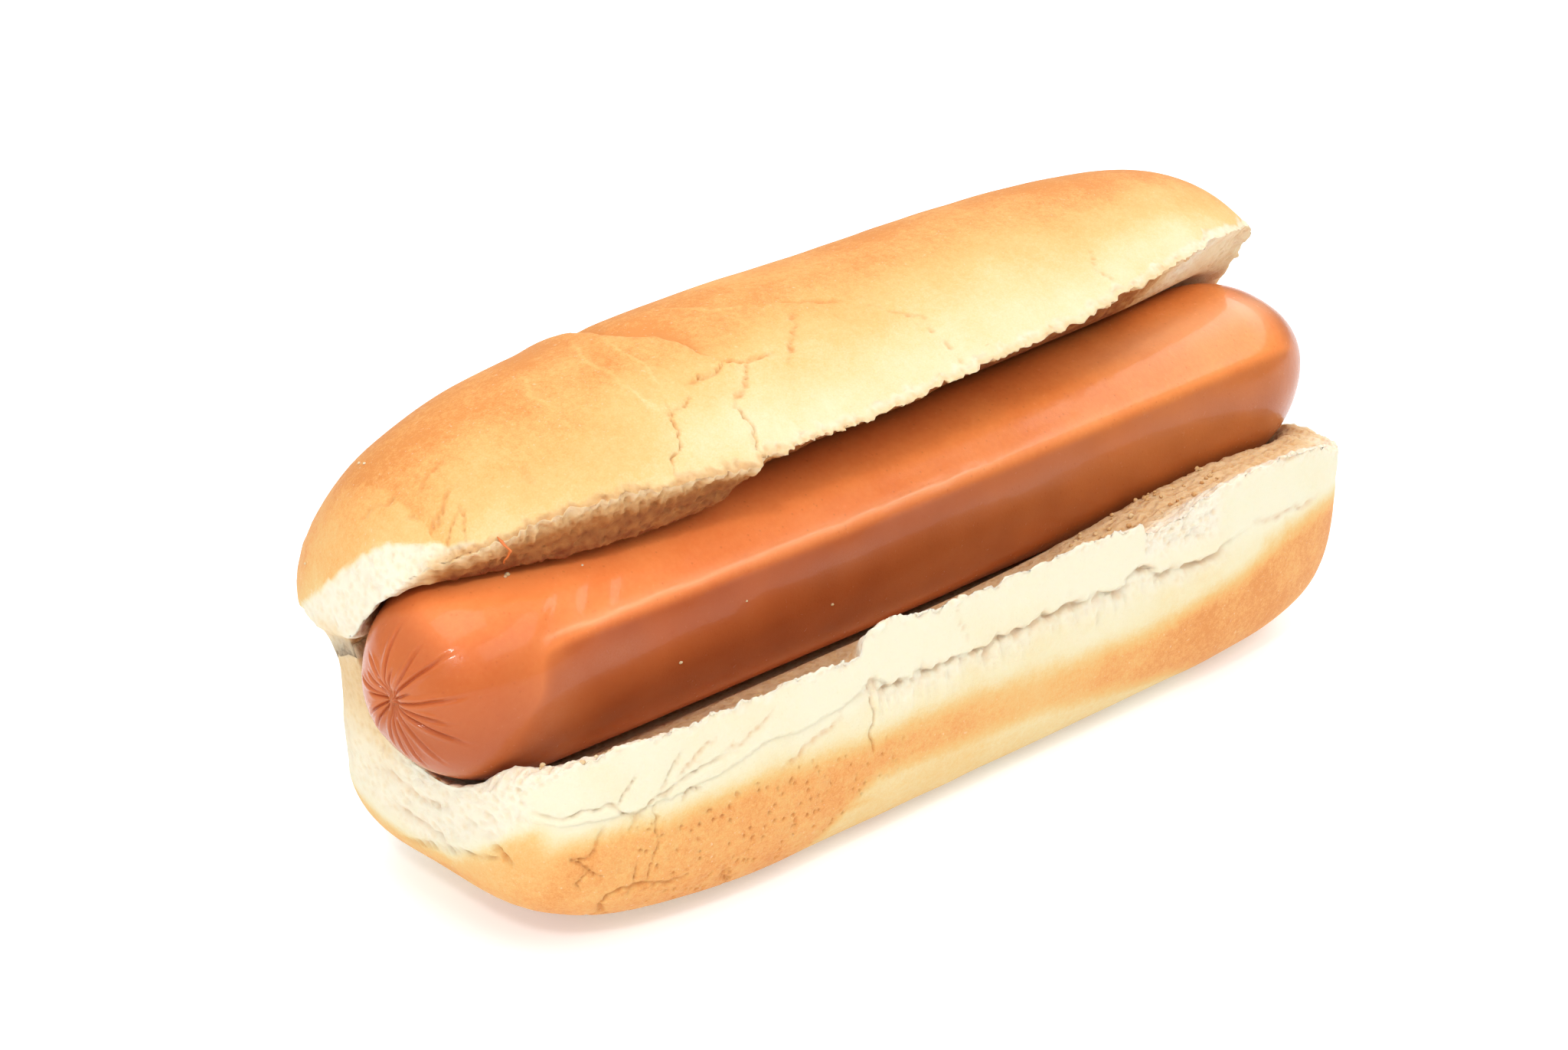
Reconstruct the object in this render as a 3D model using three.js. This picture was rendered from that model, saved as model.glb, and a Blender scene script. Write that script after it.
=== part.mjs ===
// Hot dog: one frankfurter in a soft side-sliced bun.
// Millimetres, +Z up. The length lies along X, the bun rests on its flat bottom, the slice opens
// towards -Y and the uncut hinge is at +Y. The origin is the middle of the footprint, on the floor.
//
// The bun is first described as a closed loaf, in loaf space: x from -1 to 1 along its length, y and z
// in millimetres in its section. Then it is sliced at seamHeight, opened about the hinge and pressed
// round the sausage.
import * as THREE from 'three';
import { mergeVertices } from 'three/addons/utils/BufferGeometryUtils.js';

const bun = {
  lowerEnds: [-74.2, 66.5], // left and right end of the lower half
  upperEnds: [-76.4, 66.7], // left and right end of the upper half
  halfWidth: 24.2,
  seamHeight: 23, // thickness of the lower half
  upperHeight: 23.7, // thickness of the upper half
  flatCut: 0.8, // how much of the rounded underside is baked flat by the tray
  lowerSquareness: 4.2, // superellipse exponents of the section
  upperSquareness: 2.2,
  lowerEndRound: [4.5, 5.4], // superellipse exponents of the plan, left and right
  upperEndRound: [3.5, 4.4],
  halvesBlend: 0.9, // radians either side of the back over which lower sizes turn into upper ones
};

const slice = {
  pivotY: 16, // the line that the upper half turns about
  openAngle: 52.3, // degrees, at the middle of the length
  openTwist: 6, // degrees more at the right end, and less at the left end
  hingeSpread: 55, // half of the angle round the pivot over which the hinge bends, degrees
  lowerLipLift: 6.4, // the lower lip stands higher in the middle of the length
  upperLipDroop: 6.9, // the upper lip hangs lower there
  endScale: 0.75, // where the long sides hand over to the end faces, as a part of the full section
  creaseRecess: 5, // how far the slice stops short of the pivot line at the ends
  foldDepth: 2.2, // of the fold that the bent hinge makes outside
  foldSpread: 0.35, // radians round the pivot
  foldStart: 4, // the fold has its full depth this far behind the pivot
  hingeInset: 6, // the hinge ends short of the two halves
  hingeInsetSpread: 0.4, // radians round the loaf
};

const sausage = {
  ends: [-78.8, 70.9],
  radius: 11.9, // half the distance between its flats
  squareness: 2.3, // its sides are pressed slightly flat
  roll: 12.5, // degrees that these flats are turned by
  capLength: 15.2,
  capRound: 2.4,
  axisY: -1.5,
  axisZ: 31.3,
  sag: 1.4, // how much lower the middle is than the ends
  bow: 1, // how much further back the middle is than the ends
  yaw: 1.6, // degrees
  dimpleDepth: 1.3,
  dimpleRadius: 2.4,
  pleats: 9, // creases that run out of the tied end
  pleatDepth: 0.035, // part of the radius
  pleatReach: 0.95, // they end where the section has grown to this part of the full one
};

const pressGap = 0.5; // clear space between the sausage and the crumb
const pressSharpness = 8; // how soon the crumb further off is left as it was

const steps = {
  bunLength: 36,
  bunHalfRing: 21,
  endFace: 4,
  endStrip: 3,
  sausageCap: 8,
  sausageBody: 14,
  sausageRing: 36,
};

const degrees = Math.PI / 180;
const mergeDistance = 0.004; // points closer than this are one

// ---- small helpers

function mix(a, b, t) {
  return a + (b - a) * t;
}

function clamp01(value) {
  return Math.min(1, Math.max(0, value));
}

function ease(value) {
  const t = clamp01(value);
  return t * t * (3 - 2 * t);
}

function range(count, from, to) {
  return Array.from({ length: count + 1 }, (_, i) => mix(from, to, i / count));
}

// Radius of a superellipse with the half axes a and b, in the direction of an angle.
function superRadius(angle, a, b, exponent) {
  const across = Math.abs(Math.cos(angle) / a) ** exponent;
  const upright = Math.abs(Math.sin(angle) / b) ** exponent;
  return (across + upright) ** (-1 / exponent);
}

// One closed geometry from grids of points that share their edges. A grid shows its outside where its
// columns run anticlockwise round the direction in which its rows advance.
function closedSkin(grids) {
  const corners = [];
  for (const { rows, inside } of grids) {
    for (let i = 1; i < rows.length; i += 1) {
      for (let j = 1; j < rows[i].length; j += 1) {
        const a = rows[i - 1][j - 1];
        const b = rows[i][j - 1];
        const c = rows[i][j];
        const d = rows[i - 1][j];
        corners.push(...(inside ? [a, b, c, a, c, d] : [a, c, b, a, d, c]));
      }
    }
  }
  const loose = new THREE.BufferGeometry();
  loose.setAttribute('position', new THREE.Float32BufferAttribute(corners.flat(), 3));
  const merged = mergeVertices(loose, mergeDistance);
  const index = merged.index.array;
  const kept = [];
  for (let i = 0; i < index.length; i += 3) {
    const [p, q, r] = [index[i], index[i + 1], index[i + 2]];
    if (p !== q && q !== r && r !== p) {
      kept.push(p, q, r);
    }
  }
  merged.setIndex(kept);
  merged.computeVertexNormals();
  return merged;
}

// ---- the sausage

function sausageAxis(x) {
  const middle = (sausage.ends[0] + sausage.ends[1]) / 2;
  const half = (sausage.ends[1] - sausage.ends[0]) / 2;
  const along = (x - middle) / half;
  return {
    y: sausage.axisY + Math.tan(sausage.yaw * degrees) * (x - middle) + sausage.bow * (0.5 - along ** 2),
    z: sausage.axisZ - sausage.sag * (1 - along ** 2),
  };
}

// Part of the full radius that is left at x: 1 along the body, 0 beyond the ends.
function sausageTaper(x) {
  const fromEnd = Math.min(x - sausage.ends[0], sausage.ends[1] - x);
  const inCap = clamp01(1 - fromEnd / sausage.capLength);
  return (1 - inCap ** 2) ** (1 / sausage.capRound);
}

function sausageSection(angle) {
  return superRadius(angle - sausage.roll * degrees, sausage.radius, sausage.radius, sausage.squareness);
}

function sausagePoint(x, angle) {
  const taper = sausageTaper(x);
  const inPleats = Math.sin(Math.PI * clamp01(taper / sausage.pleatReach));
  const pleat = 1 - sausage.pleatDepth * inPleats * (1 + Math.cos(angle * sausage.pleats));
  const radius = sausageSection(angle) * taper * pleat;
  const axis = sausageAxis(x);
  const inward = x < (sausage.ends[0] + sausage.ends[1]) / 2 ? 1 : -1;
  const dimple = sausage.dimpleDepth * Math.exp(-((radius / sausage.dimpleRadius) ** 2));
  return [x + inward * dimple, axis.y + radius * Math.cos(angle), axis.z + radius * Math.sin(angle)];
}

function sausageGeometry() {
  const [left, right] = sausage.ends;
  const quarter = range(steps.sausageCap, 0, Math.PI / 2);
  const body = range(steps.sausageBody, left + sausage.capLength, right - sausage.capLength);
  const stations = [
    ...quarter.map((t) => left + sausage.capLength * (1 - Math.cos(t))),
    ...body.slice(1, -1),
    ...quarter.map((t) => right - sausage.capLength * (1 - Math.sin(t))),
  ];
  const around = range(steps.sausageRing, 0, 2 * Math.PI);
  around[steps.sausageRing] = 0;
  const rows = stations.map((x) => around.map((angle) => sausagePoint(x, angle)));
  return closedSkin([{ rows, inside: false }]);
}

// ---- the bun

// The share of the upper half in a place at this angle round the loaf, from 0 below to 1 above.
function upperShare(angle) {
  return ease((angle / bun.halvesBlend + 1) / 2);
}

function endRound(angle, x) {
  const end = x < 0 ? 0 : 1;
  return mix(bun.lowerEndRound[end], bun.upperEndRound[end], upperShare(angle));
}

// How large the section is at x, and the other way round.
function sectionScale(angle, x) {
  const round = endRound(angle, x);
  return Math.max(0, 1 - Math.abs(x) ** round) ** (1 / round);
}

function stationAtScale(angle, scale, end) {
  const round = endRound(angle, end);
  return end * Math.max(0, 1 - scale ** round) ** (1 / round);
}

function sectionRadius(angle) {
  if (angle < 0) {
    return superRadius(angle, bun.halfWidth, bun.seamHeight + bun.flatCut, bun.lowerSquareness);
  }
  return superRadius(angle, bun.halfWidth, bun.upperHeight, bun.upperSquareness);
}

// The whole section at 1, smaller ones inside it: which one goes through y and z.
function scaleAt(y, z) {
  return Math.hypot(y, z) / sectionRadius(Math.atan2(z, y));
}

function crustPoint(angle, scale) {
  const radius = sectionRadius(angle) * scale;
  return { y: radius * Math.cos(angle), z: radius * Math.sin(angle) };
}

// A place on the slice: from the lip, at -180 or 180 degrees, to the crease at 0.
function slicePoint(angle, scale) {
  const shortOf = slice.creaseRecess * ease((1 - scale) / (1 - slice.endScale));
  const lip = -bun.halfWidth * scale;
  return { y: mix(slice.pivotY - shortOf, lip, Math.abs(angle) / Math.PI), z: 0 };
}

// Turns the upper half about the pivot and leaves the lower half. Side is -1 below the slice and 1
// above, and ends are where x is -1 and 1.
function opened(x, y, z, side, ends) {
  const dy = y - slice.pivotY;
  const round = Math.abs(Math.atan2(z, dy)) * side;
  const turned = ease((round / degrees + slice.hingeSpread) / (2 * slice.hingeSpread));
  const angle = (slice.openAngle + slice.openTwist * x) * degrees * turned;
  const fromHinge = clamp01(-dy / (slice.pivotY + bun.halfWidth));
  const lift = slice.lowerLipLift * (1 - x * x) * fromHinge * clamp01(1 + z / bun.seamHeight) * (1 - turned);
  const droop = slice.upperLipDroop * (1 - x * x) * fromHinge * clamp01(1 - z / bun.upperHeight) * turned;
  const fold = slice.foldDepth * Math.exp(-((round / slice.foldSpread) ** 2)) * clamp01(dy / slice.foldStart);
  return [
    mix(ends[0], ends[1], (x + 1) / 2),
    slice.pivotY + (dy - fold) * Math.cos(angle) + (z - droop) * Math.sin(angle),
    bun.seamHeight - (dy - fold) * Math.sin(angle) + (z - droop) * Math.cos(angle) + lift,
  ];
}

// Moves crumb out of the sausage's way, and what is further off ever less.
function pressed([x, y, z]) {
  const axis = sausageAxis(x);
  const room = sausageSection(Math.atan2(z - axis.z, y - axis.y)) * sausageTaper(x) + pressGap;
  const away = Math.hypot(y - axis.y, z - axis.z);
  const past = x < sausage.ends[0] || x > sausage.ends[1];
  if (past || away === 0) {
    return [x, y, z];
  }
  const grown = (away ** pressSharpness + room ** pressSharpness) ** (1 / pressSharpness) / away;
  return [x, axis.y + (y - axis.y) * grown, axis.z + (z - axis.z) * grown];
}

// From loaf space to the finished bun. The middle of the hinge takes the mean of both halves.
function placed(x, { y, z }, angle) {
  const share = upperShare(angle);
  const inset = slice.hingeInset * Math.exp(-((angle / slice.hingeInsetSpread) ** 2));
  const ends = [
    mix(bun.lowerEnds[0], bun.upperEnds[0], share) + inset,
    mix(bun.lowerEnds[1], bun.upperEnds[1], share) - inset,
  ];
  const sides = angle === 0 ? [-1, 1] : [Math.sign(angle)];
  const ways = sides.map((side) => opened(x, y, z, side, ends));
  const mean = [0, 1, 2].map((k) => ways.reduce((sum, way) => sum + way[k], 0) / ways.length);
  const [px, py, pz] = pressed(mean);
  return [px, py, Math.max(0, pz)];
}

function bunGeometry() {
  const angles = [
    ...range(steps.bunHalfRing, -Math.PI, 0),
    ...range(steps.bunHalfRing, 0, Math.PI).slice(1),
  ];
  const stations = range(steps.bunLength, -Math.PI / 2, Math.PI / 2).map((t) => Math.sin(t));
  const stationX = (angle, part) => part * Math.abs(stationAtScale(angle, slice.endScale, part < 0 ? -1 : 1));

  const crust = stations.map((part) => angles.map((angle) => {
    const x = stationX(angle, part);
    return placed(x, crustPoint(angle, sectionScale(angle, x)), angle);
  }));

  // The cut faces, which go on past the last full section to the skin of the end.
  const cutRow = (part) => angles.map((angle) => {
    const x = stationX(angle, part);
    return placed(x, slicePoint(angle, sectionScale(angle, x)), angle);
  });
  const stripRow = (end, part) => angles.map((angle) => {
    const place = slicePoint(angle, slice.endScale);
    const from = stationX(angle, end);
    const to = stationAtScale(angle, scaleAt(place.y, place.z), end);
    return placed(mix(from, to, part), place, angle);
  });
  const stripParts = range(steps.endStrip, 0, 1).slice(1);
  const cut = [
    ...stripParts.map((part) => stripRow(-1, part)).reverse(),
    ...stations.map(cutRow),
    ...stripParts.map((part) => stripRow(1, part)),
  ];

  // Each end face, from the outline of the last full section in to the slice.
  const endFace = (end) => range(steps.endFace, 0, 1).map((part) => angles.map((angle) => {
    const outer = crustPoint(angle, slice.endScale);
    const inner = slicePoint(angle, slice.endScale);
    const place = { y: mix(outer.y, inner.y, part), z: mix(outer.z, inner.z, part) };
    return placed(stationAtScale(angle, scaleAt(place.y, place.z), end), place, angle);
  }));

  return closedSkin([
    { rows: crust, inside: false },
    { rows: cut, inside: true },
    { rows: endFace(1), inside: false },
    { rows: endFace(-1), inside: true },
  ]);
}

// ---- the two pieces, with the floor at 0 and the origin in the middle of the footprint

const bunMesh = new THREE.Mesh(
  bunGeometry(),
  new THREE.MeshStandardMaterial({ color: 0xf2cf94, roughness: 0.82, metalness: 0 }),
);
bunMesh.name = 'bun';

const sausageMesh = new THREE.Mesh(
  sausageGeometry(),
  new THREE.MeshStandardMaterial({ color: 0xd87440, roughness: 0.38, metalness: 0 }),
);
sausageMesh.name = 'sausage';

const hotDog = new THREE.Group();
hotDog.add(bunMesh, sausageMesh);

const box = new THREE.Box3().setFromObject(hotDog);
const middle = box.getCenter(new THREE.Vector3());
hotDog.position.set(-middle.x, -middle.y, -box.min.z);

export default hotDog;
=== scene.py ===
# Hot dog: one frankfurter in a soft side-sliced bun, built round the imported part.
# The bun is a loaf in loaf space (x from -1 to 1, the rest in millimetres), sliced, opened about its
# hinge and pressed round the sausage, as the imported part is, and then worked over.
import math
import random
from types import SimpleNamespace
import bpy
import numpy as np
from mathutils import Euler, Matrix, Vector, noise


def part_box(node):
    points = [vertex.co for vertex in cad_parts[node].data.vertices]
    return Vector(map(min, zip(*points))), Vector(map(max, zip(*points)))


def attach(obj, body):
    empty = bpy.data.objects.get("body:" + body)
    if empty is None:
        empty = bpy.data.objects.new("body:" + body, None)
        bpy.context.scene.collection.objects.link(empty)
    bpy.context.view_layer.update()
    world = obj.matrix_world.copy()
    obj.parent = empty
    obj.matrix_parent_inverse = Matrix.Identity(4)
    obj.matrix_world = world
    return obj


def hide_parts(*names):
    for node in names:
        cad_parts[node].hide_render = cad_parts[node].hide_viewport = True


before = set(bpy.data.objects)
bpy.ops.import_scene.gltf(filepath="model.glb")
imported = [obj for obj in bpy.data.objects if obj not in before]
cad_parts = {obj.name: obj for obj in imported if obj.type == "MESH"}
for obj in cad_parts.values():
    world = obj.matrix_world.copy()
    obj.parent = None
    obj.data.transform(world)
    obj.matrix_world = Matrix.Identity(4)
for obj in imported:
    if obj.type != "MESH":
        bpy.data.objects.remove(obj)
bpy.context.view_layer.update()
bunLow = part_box("bun")[0]
print("frame loaded")

mm = 0.001
pi = math.pi


# small helpers

def mix(a, b, t):
    return a + (b - a) * t


def ease(value, low=0.0, high=1.0):
    t = np.clip((value - low) / (high - low), 0, 1)
    return t * t * (3 - 2 * t)


def fade(value, low, high):
    return 1 - ease(value, low, high)


def bell(value, width):
    return np.exp(-((value / width) ** 2))


# A ridge, or a groove where high is negative, beside a line that is away.
def swell(away, high, width, at=0):
    return high * bell(away - at, width)


def superRadius(angle, a, b, power):
    return (np.abs(np.cos(angle) / a) ** power + np.abs(np.sin(angle) / b) ** power) ** (-1 / power)


# Soft noise from about -1 to 1, with lumps as large as size.
def lumps(points, size, seed, where=None):
    placed = points / size + seed * 17.3
    if where is None:
        return np.array([noise.noise(p) for p in placed.tolist()])
    found = np.zeros(len(points))
    found[where] = [noise.noise(p) for p in placed[where].tolist()]
    return found


# Several sizes of lumps together: height, size and seed of each.
def layered(points, layers, where=None):
    return sum(height * lumps(points, size, seed, where) for height, size, seed in layers)


# Distance to the nearest of scattered points, as a part of size, 1 elsewhere.
def cells(points, size, seed, where):
    found = np.ones(len(points))
    placed = points[where] / size + seed * 9.7
    found[where] = [noise.voronoi(p)[0][0] for p in placed.tolist()]
    return found


# Height at x of a line through the points of path.
def along(path, x):
    return np.interp(x, *zip(*path))


# Distance in the plane to a line through the points of path, how far along it that is, from 0 to 1,
# and which side: 1 is the left as one goes along it, and -1 the right.
def toPath(points, path):
    nearest = np.full(len(points), 1e9)
    share, side = np.zeros(len(points)), np.ones(len(points))
    corners = np.array(path, float)
    for k in range(len(corners) - 1):
        step = corners[k + 1] - corners[k]
        offset = points - corners[k]
        t = np.clip((offset @ step) / (step @ step), 0, 1)
        away = np.hypot(*(offset - t[:, None] * step).T)
        closer = away < nearest
        nearest = np.where(closer, away, nearest)
        share = np.where(closer, (k + t) / (len(corners) - 1), share)
        side = np.where(closer, np.sign(step[0] * offset[:, 1] - step[1] * offset[:, 0]), side)
    return nearest, share, side


def readVertices(obj, name):
    found = np.zeros(len(obj.data.vertices) * 3, np.float32)
    obj.data.vertices.foreach_get(name, found)
    return found.reshape(-1, 3).astype(float)


def writePoints(obj, points):
    obj.data.vertices.foreach_set("co", points.astype(np.float32).ravel())
    obj.data.update()


def readValues(obj, name):
    values = np.zeros(len(obj.data.vertices), np.float32)
    obj.data.attributes[name].data.foreach_get("value", values)
    return values.astype(float)


def writeValues(obj, **layers):
    for name, values in layers.items():
        layer = obj.data.attributes.get(name) or obj.data.attributes.new(name, "FLOAT", "POINT")
        layer.data.foreach_set("value", values.astype(np.float32))


def selectNothing():
    bpy.ops.object.select_all(action="DESELECT")


def pick(obj):
    selectNothing()
    obj.select_set(True)
    bpy.context.view_layer.objects.active = obj


# The new object of the last operator, under the name of its piece.
def takeNew(name):
    obj = bpy.context.active_object
    obj.name = obj.data.name = name
    return obj


# Faces outward, after welding what is closer than weld.
def closeSkin(obj, weld=None):
    pick(obj)
    bpy.ops.object.mode_set(mode="EDIT")
    bpy.ops.mesh.select_all(action="SELECT")
    if weld:
        bpy.ops.mesh.remove_doubles(threshold=weld)
    bpy.ops.mesh.normals_make_consistent(inside=False)
    bpy.ops.object.mode_set(mode="OBJECT")


# the sausage

sausage = {
    "ends": (-78.8, 70.9), "radius": 11.9, "squareness": 2.3, "roll": 12.5,
    "capLength": 15.2, "capRound": 2.4, "capRows": 0.22,
    "axis": (-1.5, 31.3), "sag": 1.4, "bow": 1.0, "yaw": 1.6,
    "ring": 288, "rows": 312,
    "lumps": ((0.10, 26, 3), (0.05, 9, 4), (0.016, 2.6, 5)),
}

bun = {
    "lowerEnds": (-73.2, 66.5), "upperEnds": (-76.4, 66.7), "halfWidth": 24.2,
    "seamHeight": 23.0, "upperHeight": 23.7, "flatCut": 0.8,
    "lowerSquareness": 4.2, "upperSquareness": 2.2,
    "lowerEndRound": (4.5, 5.4), "upperEndRound": (3.5, 4.4), "halvesBlend": 0.9,
}

# From loaf space to the frame: the bun's left end and front give the two shifts.
toFrame = np.array([
    bunLow.x / mm - bun["upperEnds"][0],
    bunLow.y / mm + bun["halfWidth"],
    0,
])


def sausageAxis(x):
    left, right = sausage["ends"]
    middle, half = (left + right) / 2, (right - left) / 2
    share = (x - middle) / half
    y = sausage["axis"][0] + math.tan(math.radians(sausage["yaw"])) * (x - middle)
    return y + sausage["bow"] * (0.5 - share**2), sausage["axis"][1] - sausage["sag"] * (1 - share**2)


def sausageTaper(x):
    left, right = sausage["ends"]
    inCap = np.clip(1 - np.minimum(x - left, right - x) / sausage["capLength"], 0, 1)
    return (1 - inCap**2) ** (1 / sausage["capRound"])


def sausageSection(angle):
    radius = sausage["radius"]
    return superRadius(angle - math.radians(sausage["roll"]), radius, radius, sausage["squareness"])


# The ridge along the front, in degrees round the sausage: heights and widths of its shoulder, of the
# hollow over it and of the thin welt of skin on it, and where the welt starts and runs out.
# The welt's mask also carries a painted highlight along the ridge.
ridge = {
    "shoulder": (0.30, 7.5, 147.5), "hollow": (0.10, 9, 135), "welt": (147, 1.7), "weltHeight": (0.15, 0.08),
    "fromEnds": (10, 24), "weltStart": (12, 19), "weltEnd": (-6, 22),
}

# Creases that run out of the tied end: angle at the tie, angle at the far end, and reach in millimetres.
creases = [
    (78, 42, 6.1), (84, 86, 8.5), (134, 112, 8.6), (137, 133, 9.9), (166, 164, 9.6), (174, 187, 8.6),
    (181, 203, 9.9), (200, 230, 9.3), (216, 251, 8.7), (236, 261, 7.4), (254, 274, 6.3),
    (356, 359, 3.6), (50, 28, 4.6), (300, 306, 7.0), (326, 322, 5.5), (12, 8, 6.5), (100, 99, 4.2),
    (151, 150, 4.6), (192, 216, 5.2),
]
tie = {
    "offset": (-0.1, 0.1), "dimple": (1.3, 1.7), "knot": (0.55, 0.75),
    "creaseWidth": 0.13, "creaseDepth": 0.42, "pleat": 0.14, "pleatShape": (0.42, 0.30), "spread": 5.5,
}
rightTie = {"offset": (0.4, 0.6), "dimple": (1.1, 1.9), "fans": 11, "fanDepth": 0.24, "spread": 4.5}

# Slack skin near the left end: x, angle and turn in degrees, length, width and depth in millimetres.
dents = [
    (-62.4, 136, -42, 4.6, 0.8, 0.34), (-64.8, 127, 20, 3.4, 1.8, -0.30),
    (-61.0, 128, -40, 4.0, 1.2, -0.24), (-56.4, 131, -48, 3.6, 0.7, 0.26),
    (-54.4, 134, -46, 3.4, 0.9, -0.20), (-66.5, 118, 10, 4.6, 1.6, 0.14),
    (-50.0, 120, -58, 5.5, 1.6, 0.06),
]

# Where the skin is browner, and where shade, highlights and a reflection are painted on it, in degrees round
# the sausage and in millimetres along it.
sausageShade = {
    "front": (147, 156), "under": (204, 236), "back": (245, 280),
    "frontStart": 14.5, "startBlend": (-4.5, 3.5),
    "endOut": (8, 24), "endPale": (110, 34), "tip": (13, 4), "tipTop": (45, 100), "tipBack": (270, 310),
    "pale": (0.95, 13, 114), "paleFrom": (18, 46), "paleTo": (9, 4), "ridgeFade": (-10, 40),
    "haze": (167, 9), "hazeEnd": (20, 50),
    "endHazeAt": 62, "endHazeTop": (155, 170), "endHazeLow": (205, 235),
}


# Millimetres from a spoke at an angle, for places that are around a tie and out from it.
def fromSpoke(around, at, out):
    return np.abs((around - at + 180) % 360 - 180) * math.radians(1) * np.maximum(out, 0.2)


def denting(x, degrees):
    raised = 0
    for at, dentAngle, turn, long, wide, deep in dents:
        dx = x - at
        dg = (degrees - dentAngle) * math.radians(1) * sausage["radius"]
        turn = math.radians(turn)
        lengthwise = dx * math.cos(turn) + dg * math.sin(turn)
        across = -dx * math.sin(turn) + dg * math.cos(turn)
        across = across + 0.05 * lengthwise**2 / long
        raised = raised + deep * bell(lengthwise, long) * bell(across, wide)
    return raised


def makeSausage():
    selectNothing()
    bpy.ops.mesh.primitive_uv_sphere_add(
        segments=sausage["ring"], ring_count=sausage["rows"], radius=1, location=(0, 0, 0))
    obj = takeNew("sausageBody")
    ball = readVertices(obj, "co")

    # The ball's poles become the two ends. Rows are closer together in the caps.
    left, right = sausage["ends"]
    cap, capRows = sausage["capLength"], sausage["capRows"]
    share = np.arccos(np.clip(-ball[:, 2], -1, 1)) / pi
    angle = np.arctan2(ball[:, 1], ball[:, 0])
    x = mix(left + cap, right - cap, (share - capRows) / (1 - 2 * capRows))
    x = np.where(share < capRows, left + cap * (1 - np.cos(share / capRows * pi / 2)), x)
    x = np.where(share > 1 - capRows, right - cap * (1 - np.cos((1 - share) / capRows * pi / 2)), x)
    fromEnds = np.minimum(x - left, right - x)

    radius = sausageSection(angle) * sausageTaper(x)
    radius[radius < 1e-6] = 0
    width = radius / sausage["radius"]
    spot = np.stack([x, radius * np.cos(angle), radius * np.sin(angle)], 1)
    outward = np.stack([
        np.where(x < 0, -1, 1) * np.sqrt(np.clip(1 - width**2, 0, 1)) * fade(fromEnds, cap * 0.8, cap),
        width * np.cos(angle),
        width * np.sin(angle),
    ], 1)
    outward /= np.maximum(np.linalg.norm(outward, axis=1), 1e-6)[:, None]

    degrees = np.degrees(angle) % 360
    onBody = ease(fromEnds, *ridge["fromEnds"])
    onAxis = spot * [1, 0, 0]
    weltAt, weltWide = ridge["welt"]
    welt = bell(degrees - weltAt + 1.3 * lumps(onAxis, 5, 9), weltWide)
    welt = welt * ease(x - left, *ridge["weltStart"]) * fade(x, *ridge["weltEnd"])
    raised = layered(spot, sausage["lumps"])
    raised += swell(degrees, *ridge["shoulder"]) * onBody * (1 + 0.35 * lumps(onAxis, 9, 8))
    raised += (ridge["weltHeight"][0] + ridge["weltHeight"][1] * lumps(onAxis, 1.6, 10)) * welt
    raised -= swell(degrees, *ridge["hollow"]) * onBody
    raised -= denting(x, degrees)

    # The tied left end: a dimple, creases that run out of it, and a soft pleat between each two.
    fromTieY, fromTieZ = spot[:, 1] - tie["offset"][0], spot[:, 2] - tie["offset"][1]
    fromTie = np.hypot(fromTieY, fromTieZ)
    atLeft = x < left + cap
    around = np.degrees(np.arctan2(fromTieZ, fromTieY)) % 360
    around = around + 1.6 * lumps(spot, 3.0, 21)
    groove, pleat = np.zeros(len(x)), np.zeros(len(x))
    for k, (start, end, reach) in enumerate(creases):
        away = fromSpoke(around, mix(start, end, np.clip(fromTie / reach, 0, 1)), fromTie)
        out = ease(reach - fromTie, 0, reach * 0.35) * ease(fromTie, 0.1, 0.7)
        crease = bell(away, tie["creaseWidth"] * (0.8 + 0.07 * fromTie)) * out
        groove = np.maximum(groove, crease * (0.78 + 0.22 * math.sin(k * 2.4)))
        pleat = np.maximum(pleat, bell(away - tie["pleatShape"][0], tie["pleatShape"][1]) * out)
    raised += np.where(atLeft, tie["pleat"] * pleat - tie["creaseDepth"] * groove, 0)
    dimple = swell(fromTie, *tie["dimple"]) * atLeft
    knot = swell(fromTie, *tie["knot"]) * atLeft * (1 + 0.6 * lumps(spot, 0.5, 23))
    spot = spot + outward * raised[:, None]
    spot[:, 0] += dimple - knot

    # The right end is tied too, more smoothly.
    offY, offZ = rightTie["offset"]
    fromRight = np.hypot(spot[:, 1] + offY, spot[:, 2] + offZ)
    atRight = x > right - cap
    around = np.degrees(np.arctan2(spot[:, 2] + offZ, spot[:, 1] + offY)) % 360 + 4 * lumps(spot, 3.0, 25)
    fans = np.zeros(len(x))
    for k in range(rightTie["fans"]):
        away = fromSpoke(around, k * 360 / rightTie["fans"] + 9 * math.sin(k * 1.9), fromRight)
        reach = 5.0 + 2.6 * math.sin(k * 2.7 + 1)
        out = ease(reach - fromRight, 0, reach * 0.5)
        fans = np.maximum(fans, bell(away, 0.2 + 0.03 * fromRight) * out * ease(fromRight, 0.1, 0.9))
    spot[:, 0] -= np.where(atRight, swell(fromRight, *rightTie["dimple"]) + rightTie["fanDepth"] * fans, 0)

    axisY, axisZ = sausageAxis(x)
    spot[:, 1] += axisY
    spot[:, 2] += axisZ
    writePoints(obj, (spot + toFrame) * mm)
    # The creases' mask is kept to paint shade into them, at both ties.
    writeValues(
        obj, crease=np.where(atLeft, groove, 0) + np.where(atRight, 0.6 * fans, 0),
        tied=bell(fromTie, tie["spread"]) * atLeft + bell(fromRight, rightTie["spread"]) * atRight,
    )
    shadeSausage(obj, x, degrees, spot, onBody, welt)
    closeSkin(obj)
    bpy.ops.object.shade_smooth()
    print("sausage:", len(obj.data.polygons), "faces")
    return obj


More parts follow.
